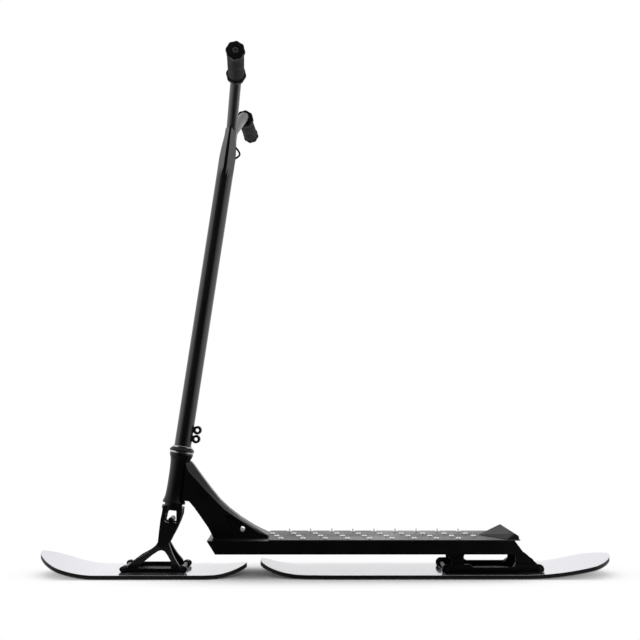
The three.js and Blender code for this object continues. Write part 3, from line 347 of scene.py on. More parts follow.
def rounded_copy(node, material, width):
    """The frame node's own shape with rounded edges: its mesh copied, doubles merged, flat faces joined,
    then a Bevel of the given width on edges sharper than SHARP and normals weighted by face area."""
    mesh = frame["nodes"][node].data.copy()
    work = merged(mesh)
    bmesh.ops.dissolve_limit(work, angle_limit=FLAT, verts=work.verts, edges=work.edges)
    mesh.materials.clear()
    piece = piece_from(node + "_rounded", mesh, work, material)
    bevel = piece.modifiers.new("Rounded edges", "BEVEL")
    bevel.width, bevel.segments = width, 2
    bevel.limit_method, bevel.angle_limit = "ANGLE", SHARP
    weighted = piece.modifiers.new("Weighted normals", "WEIGHTED_NORMAL")
    weighted.keep_sharp = True
    return piece


def settle(piece, node):
    """Lets a piece stand for its frame node: hides the node and puts the piece on the node's body."""
    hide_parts(node)
    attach(piece, BODY_OF[node])


def add_rounded(node, width, look=None):
    """Gives a frame node rounded edges, in a look or else in its slot's."""
    settle(rounded_copy(node, finish(look or LOOK_OF[node]), width), node)


def add_surface(node, ending, loops, look=None, wrap_rows=False):
    """A surface that stands for a frame node, in a look or else in the look of the node's slot."""
    settle(surface(node + ending, loops, finish(look or LOOK_OF[node]), wrap_rows), node)


# Materials
NOISE_RANGE = (0.3, 0.7)


def add_node(tree, kind, settings=None, inputs=None):
    """Adds a shader node of a kind, sets its properties, and sets or links its inputs."""
    node = tree.nodes.new("ShaderNode" + kind)
    for name, value in (settings or {}).items():
        setattr(node, name, value)
    for name, value in (inputs or {}).items():
        if isinstance(value, bpy.types.NodeSocket):
            tree.links.new(value, node.inputs[name])
        else:
            node.inputs[name].default_value = value
    return node


def opaque(colour):
    """The colour with full alpha."""
    return (*colour, 1.0)


def new_material(name):
    """An empty node material and its tree."""
    material = bpy.data.materials.new(name)
    material.use_nodes = True
    material.node_tree.nodes.clear()
    return material, material.node_tree


def ranged(tree, value, source, target, interpolation="SMOOTHSTEP"):
    """The value's source range carried onto the target range, and kept inside it."""
    return add_node(tree, "MapRange", {"interpolation_type": interpolation}, {
        "Value": value, "From Min": source[0], "From Max": source[1], "To Min": target[0],
        "To Max": target[1]}).outputs["Result"]


def speckle(tree, size_mm, stretch=(1, 1, 1), detail=2.0):
    """Noise on Object coordinates whose blotches are size_mm across, drawn out by the stretch."""
    place = add_node(tree, "TexCoord").outputs["Object"]
    mapped = add_node(tree, "Mapping", {"vector_type": "TEXTURE"},
                      {"Vector": place, "Scale": stretch}).outputs["Vector"]
    noise = add_node(tree, "TexNoise", inputs={
        "Vector": mapped, "Scale": 1000 / size_mm, "Detail": detail, "Roughness": 0.55})
    return noise.outputs["Fac"]


def varied(tree, factor, low, high):
    """A number that runs from low to high as a noise factor runs through its middle range."""
    return ranged(tree, factor, NOISE_RANGE, (low, high), "LINEAR")


def tinted(tree, factor, colour, low, high):
    """The colour darkened or lightened by shares that follow the factor."""
    mix = add_node(tree, "Mix", {"data_type": "RGBA"}, {
        "Factor": varied(tree, factor, 0, 1), "A": opaque([c * low for c in colour]),
        "B": opaque([min(1, c * high) for c in colour])})
    return mix.outputs["Result"]


def bumped(tree, factor, depth_mm, strength):
    """A normal that follows the factor as a height of up to depth_mm."""
    return add_node(tree, "Bump", inputs={
        "Height": factor, "Distance": depth_mm / 1000, "Strength": strength}).outputs["Normal"]


def black_powder_coat(tree, colour):
    """Baked black powder coat: satin, with a fine orange peel that breaks up its highlights."""
    # The real peel is about 0.6 mm; 1.6 mm is the finest that shows here
    peel, cloud = speckle(tree, 1.6), speckle(tree, 60)
    return {"Base Color": tinted(tree, cloud, colour, 0.85, 1.2), "Metallic": 0.0, "IOR": 1.5,
            "Roughness": varied(tree, cloud, 0.30, 0.38), "Specular IOR Level": 0.36,
            "Normal": bumped(tree, peel, 0.03, 0.5)}


def stoved_black_paint(tree, colour):
    """Half-gloss black paint stoved on steel tube: it mirrors the room as soft pale bands along each side."""
    cloud = speckle(tree, 40, stretch=(1, 1, 3))
    return {"Base Color": tinted(tree, cloud, colour, 0.85, 1.2), "IOR": 1.52,
            "Roughness": varied(tree, cloud, 0.26, 0.34), "Specular IOR Level": 0.85,
            "Normal": bumped(tree, cloud, 0.02, 0.3)}


def moulded_black_nylon(tree, colour):
    """Injection-moulded black nylon: matt, with a spark-eroded grain."""
    # The eroded grain is about 0.4 mm; it is drawn at 1.2 mm so that it shows
    grain, cloud = speckle(tree, 1.2, detail=3.0), speckle(tree, 25)
    return {"Base Color": tinted(tree, cloud, colour, 0.85, 1.25), "IOR": 1.53,
            "Roughness": varied(tree, cloud, 0.36, 0.46), "Specular IOR Level": 0.3,
            "Normal": bumped(tree, grain, 0.06, 0.6)}


def soft_black_rubber(tree, colour):
    """Soft black grip rubber: dull, slightly dusty where it is rubbed."""
    grain, cloud = speckle(tree, 0.9, detail=3.0), speckle(tree, 18)
    return {"Base Color": tinted(tree, cloud, colour, 0.8, 1.35), "IOR": 1.52,
            "Roughness": varied(tree, cloud, 0.55, 0.7), "Specular IOR Level": 0.14,
            "Sheen Weight": 0.01, "Sheen Roughness": 0.4, "Normal": bumped(tree, grain, 0.05, 0.6)}


def zinc_plated_steel(tree, colour):
    """Zinc-plated, turned steel: bright, with soft machining marks."""
    marks, cloud = speckle(tree, 1.0, stretch=(1, 1, 0.25)), speckle(tree, 9)
    return {"Base Color": tinted(tree, cloud, colour, 0.9, 1.05), "Metallic": 1.0,
            "Roughness": varied(tree, cloud, 0.18, 0.3), "Normal": bumped(tree, marks, 0.01, 0.4)}


def tumbled_nickel_studs(tree, colour):
    """Nickel-plated studs, tumbled: pale and frosted, so that each one shows as a bright dot."""
    # The tumbled frost is about 0.1 mm; 0.8 mm is the finest that shows here
    frost, cloud = speckle(tree, 0.8), speckle(tree, 30)
    return {"Base Color": tinted(tree, cloud, colour, 0.95, 1.03), "Metallic": 0.5,
            "Roughness": varied(tree, cloud, 0.3, 0.42), "Normal": bumped(tree, frost, 0.03, 0.5)}


def brushed_aluminium_sheet(tree, colour):
    """Brushed aluminium sheet: grain along the deck, which spreads its highlights across."""
    # Brushing lines about 0.1 mm wide are drawn at 0.8 mm, 60 mm long
    lines = speckle(tree, 0.8, stretch=(75, 1, 1), detail=3.0)
    cloud = speckle(tree, 45, stretch=(2, 1, 1))
    return {"Base Color": tinted(tree, lines, colour, 0.8, 1.16), "Metallic": 0.85,
            "Roughness": varied(tree, cloud, 0.36, 0.5), "Anisotropic": 0.5,
            "Normal": bumped(tree, lines, 0.02, 0.5)}


def clear_nylon_top_sheet(tree, colour):
    """Clear nylon top sheet over a pale pearl foil: a hard gloss that mirrors what stands on the ski, over
    faint streaks along it."""
    streaks = speckle(tree, 9, stretch=(9, 1, 1), detail=3.0)
    ripple = speckle(tree, 30, stretch=(3, 1, 1), detail=1.0)
    return {"Base Color": tinted(tree, streaks, colour, 0.94, 1.04), "Metallic": 0.4, "IOR": 1.5,
            "Roughness": varied(tree, streaks, 0.12, 0.22), "Coat Weight": 1.0, "Coat Roughness": 0.05,
            "Normal": bumped(tree, ripple, 0.05, 0.25)}


def milled_abs_side_wall(tree, colour):
    """Black ABS side wall, milled after pressing: satin with fine marks along the ski."""
    marks = speckle(tree, 0.7, stretch=(30, 30, 1), detail=2.0)
    return {"Base Color": tinted(tree, marks, colour, 0.85, 1.3), "IOR": 1.53,
            "Roughness": varied(tree, marks, 0.3, 0.42), "Normal": bumped(tree, marks, 0.03, 0.5)}


def sintered_base_sheet(tree, colour):
    """Sintered polyethylene running base: waxy black with a ground structure along the ski."""
    structure = speckle(tree, 0.8, stretch=(60, 1, 1), detail=2.0)
    return {"Base Color": tinted(tree, structure, colour, 0.9, 1.4), "IOR": 1.51,
            "Roughness": varied(tree, structure, 0.32, 0.46), "Normal": bumped(tree, structure, 0.03, 0.6)}


MAKERS = {
    "powder": black_powder_coat, "paint": stoved_black_paint, "plastic": moulded_black_nylon,
    "rubber": soft_black_rubber, "steel": zinc_plated_steel, "studs": tumbled_nickel_studs,
    "aluminium": brushed_aluminium_sheet, "sheet": clear_nylon_top_sheet, "wall": milled_abs_side_wall,
    "base": sintered_base_sheet,
}
SLOT_LOOKS = {
    "silver_metal": "steel", "black_metal": "powder", "black_plastic": "plastic",
    "black_rubber": "rubber", "plate_metal": "aluminium", "ski_sheet": "sheet",
}
LOOK_OF = {node: SLOT_LOOKS[slot] for node, slot in SLOT_OF.items()}


def finish(look):
    """The material of a look, made once, named for its maker and then shared."""
    make = MAKERS[look]
    material = bpy.data.materials.get(make.__name__)
    if material is None:
        material, tree = new_material(make.__name__)
        colour = tuple(getattr(bpy.context.scene.finishes, look))
        shader = add_node(tree, "BsdfPrincipled", inputs=make(tree, colour))
        add_node(tree, "OutputMaterial", inputs={"Surface": shader.outputs["BSDF"]})
    return material


# Skis
def end_rise(shape, from_tip):
    """Rise of a ski end above the flat: rise x ((run - distance from the tip) / run) ^ power."""
    run, rise, power = shape[0], shape[1], shape[2]
    return rise * np.clip((run - from_tip) / run, 0, 1) ** power


def end_width(shape, from_tip, half_width, tip_half_width):
    """Half width near a ski end: a superellipse of the given fullness over the rounded length."""
    round_length, fullness = shape[3], shape[4]
    inner = np.clip(1 - from_tip / round_length, 0, 1) ** fullness
    return np.maximum(tip_half_width, half_width * (1 - inner) ** (1 / fullness))


class SkiForm:
    """A ski's outline and rise along its length, worked out at many stations."""

    def __init__(self, label, sizes, stations=220):
        low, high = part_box(label + "_ski")
        nose, tail = getattr(sizes, label + "_nose"), getattr(sizes, label + "_tail")
        length = high.x - low.x
        from_nose = length * (1 - np.cos(np.linspace(0, math.pi, stations))) / 2
        from_tail = length - from_nose
        widths = [end_width(shape, away, high.y, sizes.tip_width / 2)
                  for shape, away in ((nose, from_nose), (tail, from_tail))]
        self.low, self.high = low.x, high.x
        self.x = low.x + from_nose
        self.half = np.minimum(*widths)
        self.rise = end_rise(nose, from_nose) + end_rise(tail, from_tail)

    def loops(self, section):
        """Loops across the ski: section gives each point's share of the half width, inset and height."""
        share, inset, height = (column[None, :] for column in np.asarray(section, float).T)
        half = np.maximum(self.half[:, None] - inset, 0)
        inner = np.clip(self.x[:, None], self.low + inset, self.high - inset)
        return points(inner, half * share, self.rise[:, None] + height)


SHEET_ROLL_POWER = 14
SHEET_LEAN_SHARE = 0.9
WALL_IN_SHEET_SHARE = 0.4
WALL_IN_EDGE_SHARE = 0.15
EDGE_CHAMFER_SHARE = 0.12
BASE_WIDTH_SHARE, BASE_HEIGHT_SHARE = 0.9, 0.98


def top_sheet_section(sizes, columns=25):
    """Across the top sheet: height = thickness - drop x |share| ^ power, then back along its underside."""
    share = np.linspace(-1, 1, columns)
    low = sizes.thickness - sizes.top_sheet - sizes.top_drop
    top = sizes.thickness - sizes.top_drop * np.abs(share) ** SHEET_ROLL_POWER
    lean = sizes.wall_lean * SHEET_LEAN_SHARE
    return np.concatenate([points(share, lean, top), points(share[::-1], lean, low)])


def wall_section(sizes):
    """The side wall's block: upright above the steel edge, leaning in towards the top sheet."""
    low = sizes.steel_height
    high = sizes.thickness - sizes.top_sheet * (1 - WALL_IN_SHEET_SHARE) - sizes.top_drop
    edge, lean, middle = sizes.steel_width * WALL_IN_EDGE_SHARE, sizes.wall_lean, (low + high) / 2
    return [(-1, edge, low), (1, edge, low), (1, edge, middle), (1, lean, high), (-1, lean, high),
            (-1, edge, middle)]


def base_section(sizes):
    """The running base between the steel edges."""
    inset, high = sizes.steel_width * BASE_WIDTH_SHARE, sizes.steel_height * BASE_HEIGHT_SHARE
    return [(-1, inset, 0), (1, inset, 0), (1, inset, high), (-1, inset, high)]


def steel_edge_loops(form, sizes):
    """The steel strip: its chamfered section carried once round the ski's outline."""
    width, height = sizes.steel_width, sizes.steel_height
    ease = width * EDGE_CHAMFER_SHARE
    corners = [(width, 0), (ease, 0), (0, ease), (0, height - ease), (ease, height), (width, height)]
    rings = []
    for inset, up in corners:
        half = np.maximum(form.half - inset, 0)
        x = np.clip(form.x, form.low + inset, form.high - inset)
        there, back = points(x, -half, form.rise + up), points(x, half, form.rise + up)
        rings.append(np.concatenate([there, back[::-1]]))
    return np.stack(rings, axis=1)


class MakeSkis(bpy.types.Operator):
    """Makes each ski as its layers: top sheet, side wall, steel edge and running base"""

    bl_idname = "snow_scooter.skis"
    bl_label = "Skis"

    def execute(self, context):
        sizes = context.scene.ski_sizes
        for label in ("front", "rear"):
            form = SkiForm(label, sizes)
            node = label + "_ski"
            add_surface(node, "_top_sheet", form.loops(top_sheet_section(sizes)), "sheet")
            add_surface(node, "_side_wall", form.loops(wall_section(sizes)), "wall")
            add_surface(node, "_running_base", form.loops(base_section(sizes)), "base")
            add_surface(node, "_steel_edge", steel_edge_loops(form, sizes), "steel", True)
        return {"FINISHED"}


# Deck and grip plate
def rounded_rectangle(low, high, radius, corner_points=6):
    """A rectangle's outline with quarter circles at its corners, anticlockwise from the low corner."""
    turn = np.linspace(0, math.pi / 2, corner_points)
    centres = [(low[0] + radius, low[1] + radius), (high[0] - radius, low[1] + radius),
               (high[0] - radius, high[1] - radius), (low[0] + radius, high[1] - radius)]
    corners = []
    for i, (x, y) in enumerate(centres):
        bearing = math.pi + i * math.pi / 2 + turn
        corners.append(points(x + radius * np.cos(bearing), y + radius * np.sin(bearing)))
    return np.concatenate(corners)


def slab_loops(low, high, bottom, top, radius, edge):
    """A flat slab: the outline, drawn in by the edge at its faces and full between them."""
    stack = []
    for inset, height in ((edge, bottom), (0, bottom + edge), (0, top - edge), (edge, top)):
        flat = rounded_rectangle((low[0] + inset, low[1] + inset), (high[0] - inset, high[1] - inset), radius)
        stack.append(points(*flat.T, height))
    return np.array(stack)


STUD_ROW_SHARES = (0.784, 0, 0.223, 0.414)
FLANGE_SIDES, SPIKE_SIDES = 20, 14


def stud_places(sizes, front, top):
    """Centres of the studs: four staggered rows, each starting a share of the pitch further back."""
    columns = np.arange(math.ceil(sizes.stud_last / sizes.stud_pitch))
    shares = np.array(STUD_ROW_SHARES)
    x = sizes.stud_first + (shares[:, None] + columns[None, :]) * sizes.stud_pitch
    y = ((len(shares) - 1) / 2 - np.arange(len(shares)))[:, None] * sizes.stud_row_spacing
    return points(front + x, y, top)[x < sizes.stud_last]


def stud_flange_loops(sizes):
    """A stud's domed flange."""
    flange, rise = sizes.stud_flange, sizes.stud_flange_height
    profile = [(0, 0), (flange, 0), (flange, rise * 0.6), (flange * 0.88, rise * 0.88), (flange * 0.6, rise),
               (0, rise)]
    return turned(profile, FLANGE_SIDES)


def stud_spike_loops(sizes):
    """A stud's spike: a small fillet at its foot, and sides that narrow to a rounded point."""
    rise, spike, height = sizes.stud_flange_height, sizes.stud_spike, sizes.stud_height
    profile = [(0, rise * 0.5), (spike * 1.6, rise * 0.5), (spike * 1.6, rise), (spike, rise * 1.5),
               (spike * 0.75, height * 0.8), (spike * 0.6, height * 0.95), (spike * 0.3, height), (0, height)]
    return turned(profile, SPIKE_SIDES)


class MakeGripPlate(bpy.types.Operator):
    """Makes the brushed grip plate and its staggered rows of studs"""

    bl_idname = "snow_scooter.grip_plate"
    bl_label = "Grip plate"

    def execute(self, context):
        sizes = context.scene.deck_sizes
        low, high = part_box("grip_plate")
        top = low.z + sizes.plate_thickness
        sheet = slab_loops(low, high, low.z, top, sizes.plate_corner, sizes.plate_edge)
        add_surface("grip_plate", "_sheet", sheet)
        places = stud_places(sizes, low.x, top)
        for part, loops, look in (("flanges", stud_flange_loops(sizes), "studs"),
                                  ("spikes", stud_spike_loops(sizes), "steel")):
            stacks = loops + places[:, None, None, :]
            settle(surfaces("grip_plate_stud_" + part, stacks, finish(look)), "grip_plate")
        return {"FINISHED"}


class MakeMountPads(bpy.types.Operator):
    """Makes a thin black pad under each ski mount, nearly as wide as the ski: painted reflection and shade,
    standing for the mount's dark mirror image and shadow on the glossy top sheet
    """

    bl_idname = "snow_scooter.mount_pads"
    bl_label = "Mount pads"

    def execute(self, context):
        sizes = context.scene.ski_sizes
        margin, thickness = sizes.pad_margin, sizes.pad_thickness
        for label in ("front", "rear"):
            node = label + "_ski_base"
            low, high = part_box(node)
            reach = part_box(label + "_ski")[1].y - margin
            # The black pad is painted reflection and shade: it darkens the glossy top sheet beside the mount,
            # where the mount's mirror image and shadow fall
            loops = slab_loops((low.x + margin, -reach), (high.x - margin, reach), low.z, low.z + thickness,
                               sizes.pad_corner, thickness / 4)
            add_surface(node, "_pad", loops, "plastic")
        return {"FINISHED"}


class MakeChassis(bpy.types.Operator):
    """Rounds the edges of the deck, neck, tail wedge, rear bracket and rear ski mount"""

    bl_idname = "snow_scooter.chassis"
    bl_label = "Chassis"

    def execute(self, context):
        for node, width in (("deck_box", 0.0008), ("neck", 0.0012), ("rear_bracket", 0.0007),
                            ("rear_ski_base", 0.0007), ("tail_wedge", 0.0016)):
            add_rounded(node, width)
        return {"FINISHED"}


# Head tube and headset
HEAD_PLACE_SHARES = (0, 0.055, 0.1, 0.19, 0.4, 0.6, 0.82, 0.92, 0.97, 1)
HEAD_WIDTH_SHARES = (1, 0.86, 0.5, 0.22, 0.03, 0, 0.12, 0.45, 0.8, 0.9)
RING_WALL_SHARE = 0.3
RING_SIDES = 96


def head_tube_profile(sizes):
    """The tube's outside eased from its full radius to its waist and back, then its stepped bore."""
    along, wide = eased(HEAD_PLACE_SHARES, HEAD_WIDTH_SHARES, 64)
    outside = points(sizes.waist + (sizes.radius - sizes.waist) * wide, -sizes.length * along)
    outside[0, 0] -= sizes.chamfer
    outside[-1, 0] -= sizes.chamfer
    bore, seat, depth = sizes.bore, sizes.bearing, sizes.bearing_depth
    inside = [(seat, -sizes.length), (seat, depth - sizes.length), (bore, depth - sizes.length),
              (bore, -depth), (seat, -depth), (seat, 0)]
    return np.concatenate([outside, inside])


class MakeHead(bpy.types.Operator):
    """Makes the waisted head tube and the headset's rings and cap"""

    bl_idname = "snow_scooter.head"
    bl_label = "Head tube and headset"

    def execute(self, context):
        sizes = context.scene.head_sizes
        gap = context.scene.grip_sizes.gap
        tube = placed(turned(head_tube_profile(sizes), RING_SIDES), STEERING_FRAME)
        add_surface("head_tube", "_turned", tube, wrap_rows=True)
        bore, low = sizes.steerer + gap, gap
        for node, outer, top_radius, height in (
            ("bearing_cover_ring", sizes.ring, sizes.ring, sizes.ring_height),
            ("headset_cap", sizes.cap, sizes.cap_top, sizes.cap_height),
            ("spacer_ring", sizes.spacer, sizes.spacer, sizes.spacer_height),
        ):
            wall, high = low + height * RING_WALL_SHARE, low + height
            corners = [(bore, low), (outer, low), (outer, wall), (top_radius, high), (bore, high)]
            loops = placed(turned(chamfered(corners, sizes.chamfer), RING_SIDES), STEERING_FRAME)
            add_surface(node, "_turned", loops, wrap_rows=True)
            low += height + gap
        return {"FINISHED"}


class MakeSteering(bpy.types.Operator):
    """Rounds the edges of the fork, stem, leash loop and front ski mount"""

    bl_idname = "snow_scooter.steering"
    bl_label = "Fork and stem"

    def execute(self, context):
        for node, width, look in (("fork", 0.0009, "powder"), ("stem_tube", 0.0004, "paint"),
                                  ("front_ski_base", 0.0007, "powder"), ("leash_loop", 0.0002, "powder")):
            add_rounded(node, width, look)
        return {"FINISHED"}


# Handlebar
def riser_slope(sizes, inner):
    """Length and angle of a riser's straight stretch: the line that touches the circles of its two bends."""
    across = inner - sizes.bend_clearance - sizes.root_spacing - sizes.root_bend
    up = sizes.root_drop - sizes.grip_bend
    difference = sizes.grip_bend - sizes.root_bend
    length = math.sqrt(across ** 2 + up ** 2 - difference ** 2)
    return length, math.atan2(up, across) + math.atan2(difference, length)


def riser_line(sizes, height, inner, end, stations=14):
    """Places along a riser in the plane across the scooter, (points, 3) of y, z and heading: a bend out of
    the stem, a straight slope, a bend to level and the straight grip stretch."""
    slope_length, slope = riser_slope(sizes, inner)

    def bend(place, radius, angle):
        y, z, heading = place
        heading_on = heading - np.linspace(0, angle, stations)
        return points(y + radius * (np.sin(heading) - np.sin(heading_on)),
                      z - radius * (np.cos(heading) - np.cos(heading_on)), heading_on)

    upright = math.pi / 2
    foot = (sizes.root_spacing, height - sizes.root_drop, upright)
    first = bend(foot, sizes.root_bend, upright - slope)
    second_start = first[-1] + [slope_length * math.cos(slope), slope_length * math.sin(slope), 0]
    second = bend(tuple(second_start), sizes.grip_bend, slope)
    final = second[-1] + [end - second[-1][0], 0, 0]
    return np.concatenate([first, second, final[None]])


def tube_loops(line, radius, sides=48):
    """Rings of the radius square to the line, one at each of its places."""
    y, z, heading = (column[:, None] for column in line.T)
    turn = angles(sides)[None, :]
    across = radius * np.cos(turn)
    return points(radius * np.sin(turn), y + across * np.sin(heading), z - across * np.cos(heading))


def bar_matrix(side, sweep):
    """The bar's right half swung back by its sweep, mirrored for the left, then set on the steering axis."""
    mirror = Matrix.Scale(side, 4, Vector((0, 1, 0)))
    return STEERING_FRAME @ mirror @ Matrix.Rotation(-sweep, 4, "Z")


def grip_axis_height(bar, grip):
    """Height of the grips' axis along the steering axis, from the height of their middle over the snow."""
    reach = (bar.width / 2 - grip.length / 2) * math.tan(bar.sweep)
    return (bar.grip_height - STEERING_TOP.z + reach * STEERING_AXIS.x) / STEERING_AXIS.z


def along_grip(loops, height):
    """Loops turned about Z laid along Y, out from the scooter's middle, at the grips' height."""
    return points(loops[..., 0], loops[..., 2], height - loops[..., 1])


def scalloped(sizes, from_radius, count=8):
    """The share that draws a radius in: a cosine wave round the piece wherever it is past from_radius."""
    def share(radius, turn):
        wave = (1 - np.cos(count * turn)) / 2
        return np.where(radius > from_radius, 1 - sizes.scallop * wave / np.maximum(radius, from_radius), 1)
    return share


def grip_profile(sizes, bore, inner, outer):
    """A grip's outside with a rounded inner flange, fine ribs and a rounded end flange, and its bore."""
    start, stop = inner + sizes.flange_length, outer - sizes.end_flange_length
    swell = np.linspace(0, math.pi, 14)
    flange = points(sizes.radius + (sizes.flange - sizes.radius) * np.sin(swell) ** 0.5,
                    inner + sizes.flange_length * (1 - np.cos(swell)) / 2)
    along = np.linspace(start, stop, int((stop - start) / sizes.rib_pitch) * 6)[1:-1]
    wave = (1 + np.cos(2 * math.pi * (along - start) / sizes.rib_pitch)) / 2
    ribs = points(sizes.radius - sizes.rib_depth * wave, along)
    ends = points(sizes.radius + (sizes.end_flange - sizes.radius) * np.sin(swell[:8]) ** 0.6,
                  stop + sizes.end_flange_length * (1 - np.cos(swell[:8])))
    ends[-1, 1] = min(ends[-1, 1], outer)
    ends = np.clip(ends, None, [sizes.end_flange, outer])
    close = [(sizes.end_flange - sizes.scallop, outer), (bore, outer), (bore, inner)]
    return np.concatenate([flange, ribs, ends, close])


DISH_SHARE, DISH_STEP_SHARE, DISH_FOOT_SHARE = 0.62, 0.4, 0.94


def plug_profile(sizes, bar, face, end, bore):
    """A bar plug: its spigot in the tube, its lobed disc with rounded rims, and the recess for its screw."""
    radius, recess, screw, gap = sizes.plug_radius, sizes.plug_recess, sizes.screw_radius, sizes.gap
    spigot, foot = bar.radius - bar.wall - gap, face - sizes.plug_spigot
    turn = np.linspace(0, math.pi / 2, 6)
    shoulder = points(radius - recess * (1 - np.cos(turn)), end - recess * (1 - np.sin(turn)))
    dish, step, floor = radius * DISH_SHARE, end - recess * DISH_STEP_SHARE, end - recess
    inner = [(dish, end), (dish * DISH_FOOT_SHARE, step), (screw + gap * 2, step), (screw + gap, floor),
             (bore, floor), (bore, foot)]
    outer = [(spigot, foot), (spigot, face), (radius - gap, face)]
    return np.concatenate([outer, shoulder, inner])


def screw_loops(head, head_height, shank, length, socket, dome=0.25, sides=36):
    """A screw along Z with its head's top at zero: shank, head with a domed rim, hexagon socket.
    Radii come from the profile; the socket's rings are turned into a hexagon inside the head."""
    depth = head_height * 0.6
    rim = head_height * dome
    profile = [(0, -length), (shank * 0.8, -length), (shank, -length + shank * 0.3), (shank, -head_height),
               (head * 0.97, -head_height), (head, -head_height + rim * 0.3), (head, -rim),
               (head * 0.96, -rim * 0.4), (head * 0.85, 0), (socket * 1.22, 0), (socket, -rim * 0.4),
               (socket, -depth), (0, -depth)]
    loops = turned(profile, sides)
    flat = math.cos(math.pi / 6) / np.cos((angles(sides) % (math.pi / 3)) - math.pi / 6)
    loops[-3:, :, :2] *= flat[None, :, None]
    return loops


GRIP_SIDES = 120
# Shares of the bar's wall, of the plug's recess and of the plug screw's head
PLUG_BORE_SHARE, PLUG_SHANK_SHARE = 1.5, 1.3
PLUG_LOBE_SHARE, PLUG_HEAD_SHARE = 1.2, 0.75
PLUG_SOCKET_SHARE = 0.48


class MakeHandlebar(bpy.types.Operator):
    """Makes the two bent risers, the rubber grips, the bar plugs and their screws"""

    bl_idname = "snow_scooter.handlebar"
    bl_label = "Handlebar"

    def execute(self, context):
        bar, grip = context.scene.bar_sizes, context.scene.grip_sizes
        height = grip_axis_height(bar, grip)
        outer = bar.width / 2 - grip.plug_length - grip.gap
        inner = outer - grip.length
        face, end = outer + grip.gap, bar.width / 2
        line = riser_line(bar, height, inner, outer)
        walls = np.concatenate([tube_loops(line, bar.radius), tube_loops(line, bar.radius - bar.wall)[::-1]])
        rubber = turned(grip_profile(grip, bar.radius + grip.gap, inner, outer), GRIP_SIDES,
                        scalloped(grip, grip.radius + grip.gap))
        disc = turned(plug_profile(grip, bar, face, end, bar.wall * PLUG_BORE_SHARE), GRIP_SIDES,
                      scalloped(grip, grip.plug_radius - grip.plug_recess * PLUG_LOBE_SHARE))
        screw = screw_loops(grip.screw_radius, grip.plug_recess * PLUG_HEAD_SHARE,
                            bar.wall * PLUG_SHANK_SHARE, grip.plug_spigot,
                            grip.screw_radius * PLUG_SOCKET_SHARE) + [0, 0, end - grip.gap]
        for label, side in (("left", -1), ("right", 1)):
            matrix = bar_matrix(side, bar.sweep)
            add_surface(label + "_riser", "_tube", placed(walls, matrix), "paint", wrap_rows=True)
            for part, ending, loops in (("_grip", "_rubber", rubber), ("_bar_plug", "_disc", disc),
                                        ("_plug_screw", "_head", screw)):
                add_surface(label + part, ending, placed(along_grip(loops, height), matrix),
                            wrap_rows=part != "_plug_screw")
        return {"FINISHED"}


# Fasteners
# The way each kind's head faces, then shares of its head's radius: head height, shank and socket radius,
# and the share of the head's height that is domed
SCREW_KINDS = {
    "base_screw": ("up", 0.52, 0.5, 0.36, 0.5),
    "bracket_bolt": ("down", 0.57, 0.5, 0.36, 0.25),
    "axle": ("near", 0.74, 0.65, 0.42, 0.4),
}
# What each way makes of a screw's own X, Y and Z, and the corner and axis of its box that its head sits at
FACINGS = {
    "up": ([[1, 0, 0], [0, 1, 0], [0, 0, 1]], 1, 2),
    "down": ([[1, 0, 0], [0, -1, 0], [0, 0, -1]], 0, 2),
    "near": ([[1, 0, 0], [0, 0, 1], [0, -1, 0]], 0, 1),
}


NUT_EDGE = 0.0003


def add_screw(node, kind, ending):
    """A screw of a kind that fills its frame node's box."""
    facing, head_height, shank, socket, dome = SCREW_KINDS[kind]
    axes, corner, along = FACINGS[facing]
    box = np.array(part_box(node))
    size, seat = box[1] - box[0], box.mean(axis=0)
    seat[along] = box[corner][along]
    head = size[0] / 2
    loops = screw_loops(head, head * head_height, head * shank, size[along], head * socket, dome)
    add_surface(node, ending, loops @ np.array(axes) + seat)


class MakeFasteners(bpy.types.Operator):
    """Makes the screws of both ski mounts and of the rear bracket, and the axles, nuts and spacers"""

    bl_idname = "snow_scooter.fasteners"
    bl_label = "Fasteners"

    def execute(self, context):
        for label in ("front", "rear"):
            for number in range(1, 5):
                add_screw(f"{label}_base_screw_{number}", "base_screw", "_head")
            for end in ("front", "rear"):
                mount = f"{label}_mount_{end}_"
                add_screw(mount + "axle", "axle", "_bolt")
                add_rounded(mount + "nut", NUT_EDGE)
                add_rounded(mount + "spacer", NUT_EDGE)
        for number in range(1, 5):
            add_screw(f"bracket_bolt_{number}", "bracket_bolt", "_head")
        return {"FINISHED"}


class FinishInnerParts(bpy.types.Operator):
    """Gives every frame node that still shows its finish"""

    bl_idname = "snow_scooter.inner_parts"
    bl_label = "Inner parts"

    def execute(self, context):
        for name, node in frame["nodes"].items():
            if not node.hide_render:
                node.data.materials.clear()
                node.data.materials.append(finish(LOOK_OF[name]))
        return {"FINISHED"}


# Stage
# Each is a range of places and the shares of white that they run through
ROOM_ACROSS = (-0.9, -0.2), (0.015, 1.0)
ROOM_UP = (0.35, 0.95), (1.0, 0.65)
FLOOR_REFLECTION_SHADE = (0.3, 1.6), (0.12, 1.0)
SHADOW_PATCH = (0.4, 0.8), (0.04, 1.0)
# The shadow's patch is four times as long as it is wide
PATCH_STRETCH = (1, 4, 1)
FLOOR_REACH, FLOOR_DEPTH = 40.0, 0.0002
FLOOR_CORNERS = (-1, -1), (1, -1), (1, 1), (-1, 1)
LAMP_LEAN = (-0.1, 0.2, 1.0)
SENSOR_WIDTH = 36.0


def room_glow(tree, across):
    """Brightness of the room in reflections by its place across the scooter, -1 in front to 1 behind: dark in
    front, as an unlit room is, and white at the sides and behind."""
    return ranged(tree, across, *ROOM_ACROSS)


def dimmed(tree, glow, place, source, shares):
    """The glow times a share that runs from one value to another as the place runs through its range."""
    share = ranged(tree, place, source, shares)
    return add_node(tree, "Math", {"operation": "MULTIPLY"}, {0: glow, 1: share}).outputs["Value"]


def mixed_shader(tree, factor, first, second):
    """The first shader where the factor is 0 and the second where it is 1."""
    return add_node(tree, "MixShader", inputs={0: factor, 1: first, 2: second}).outputs["Shader"]


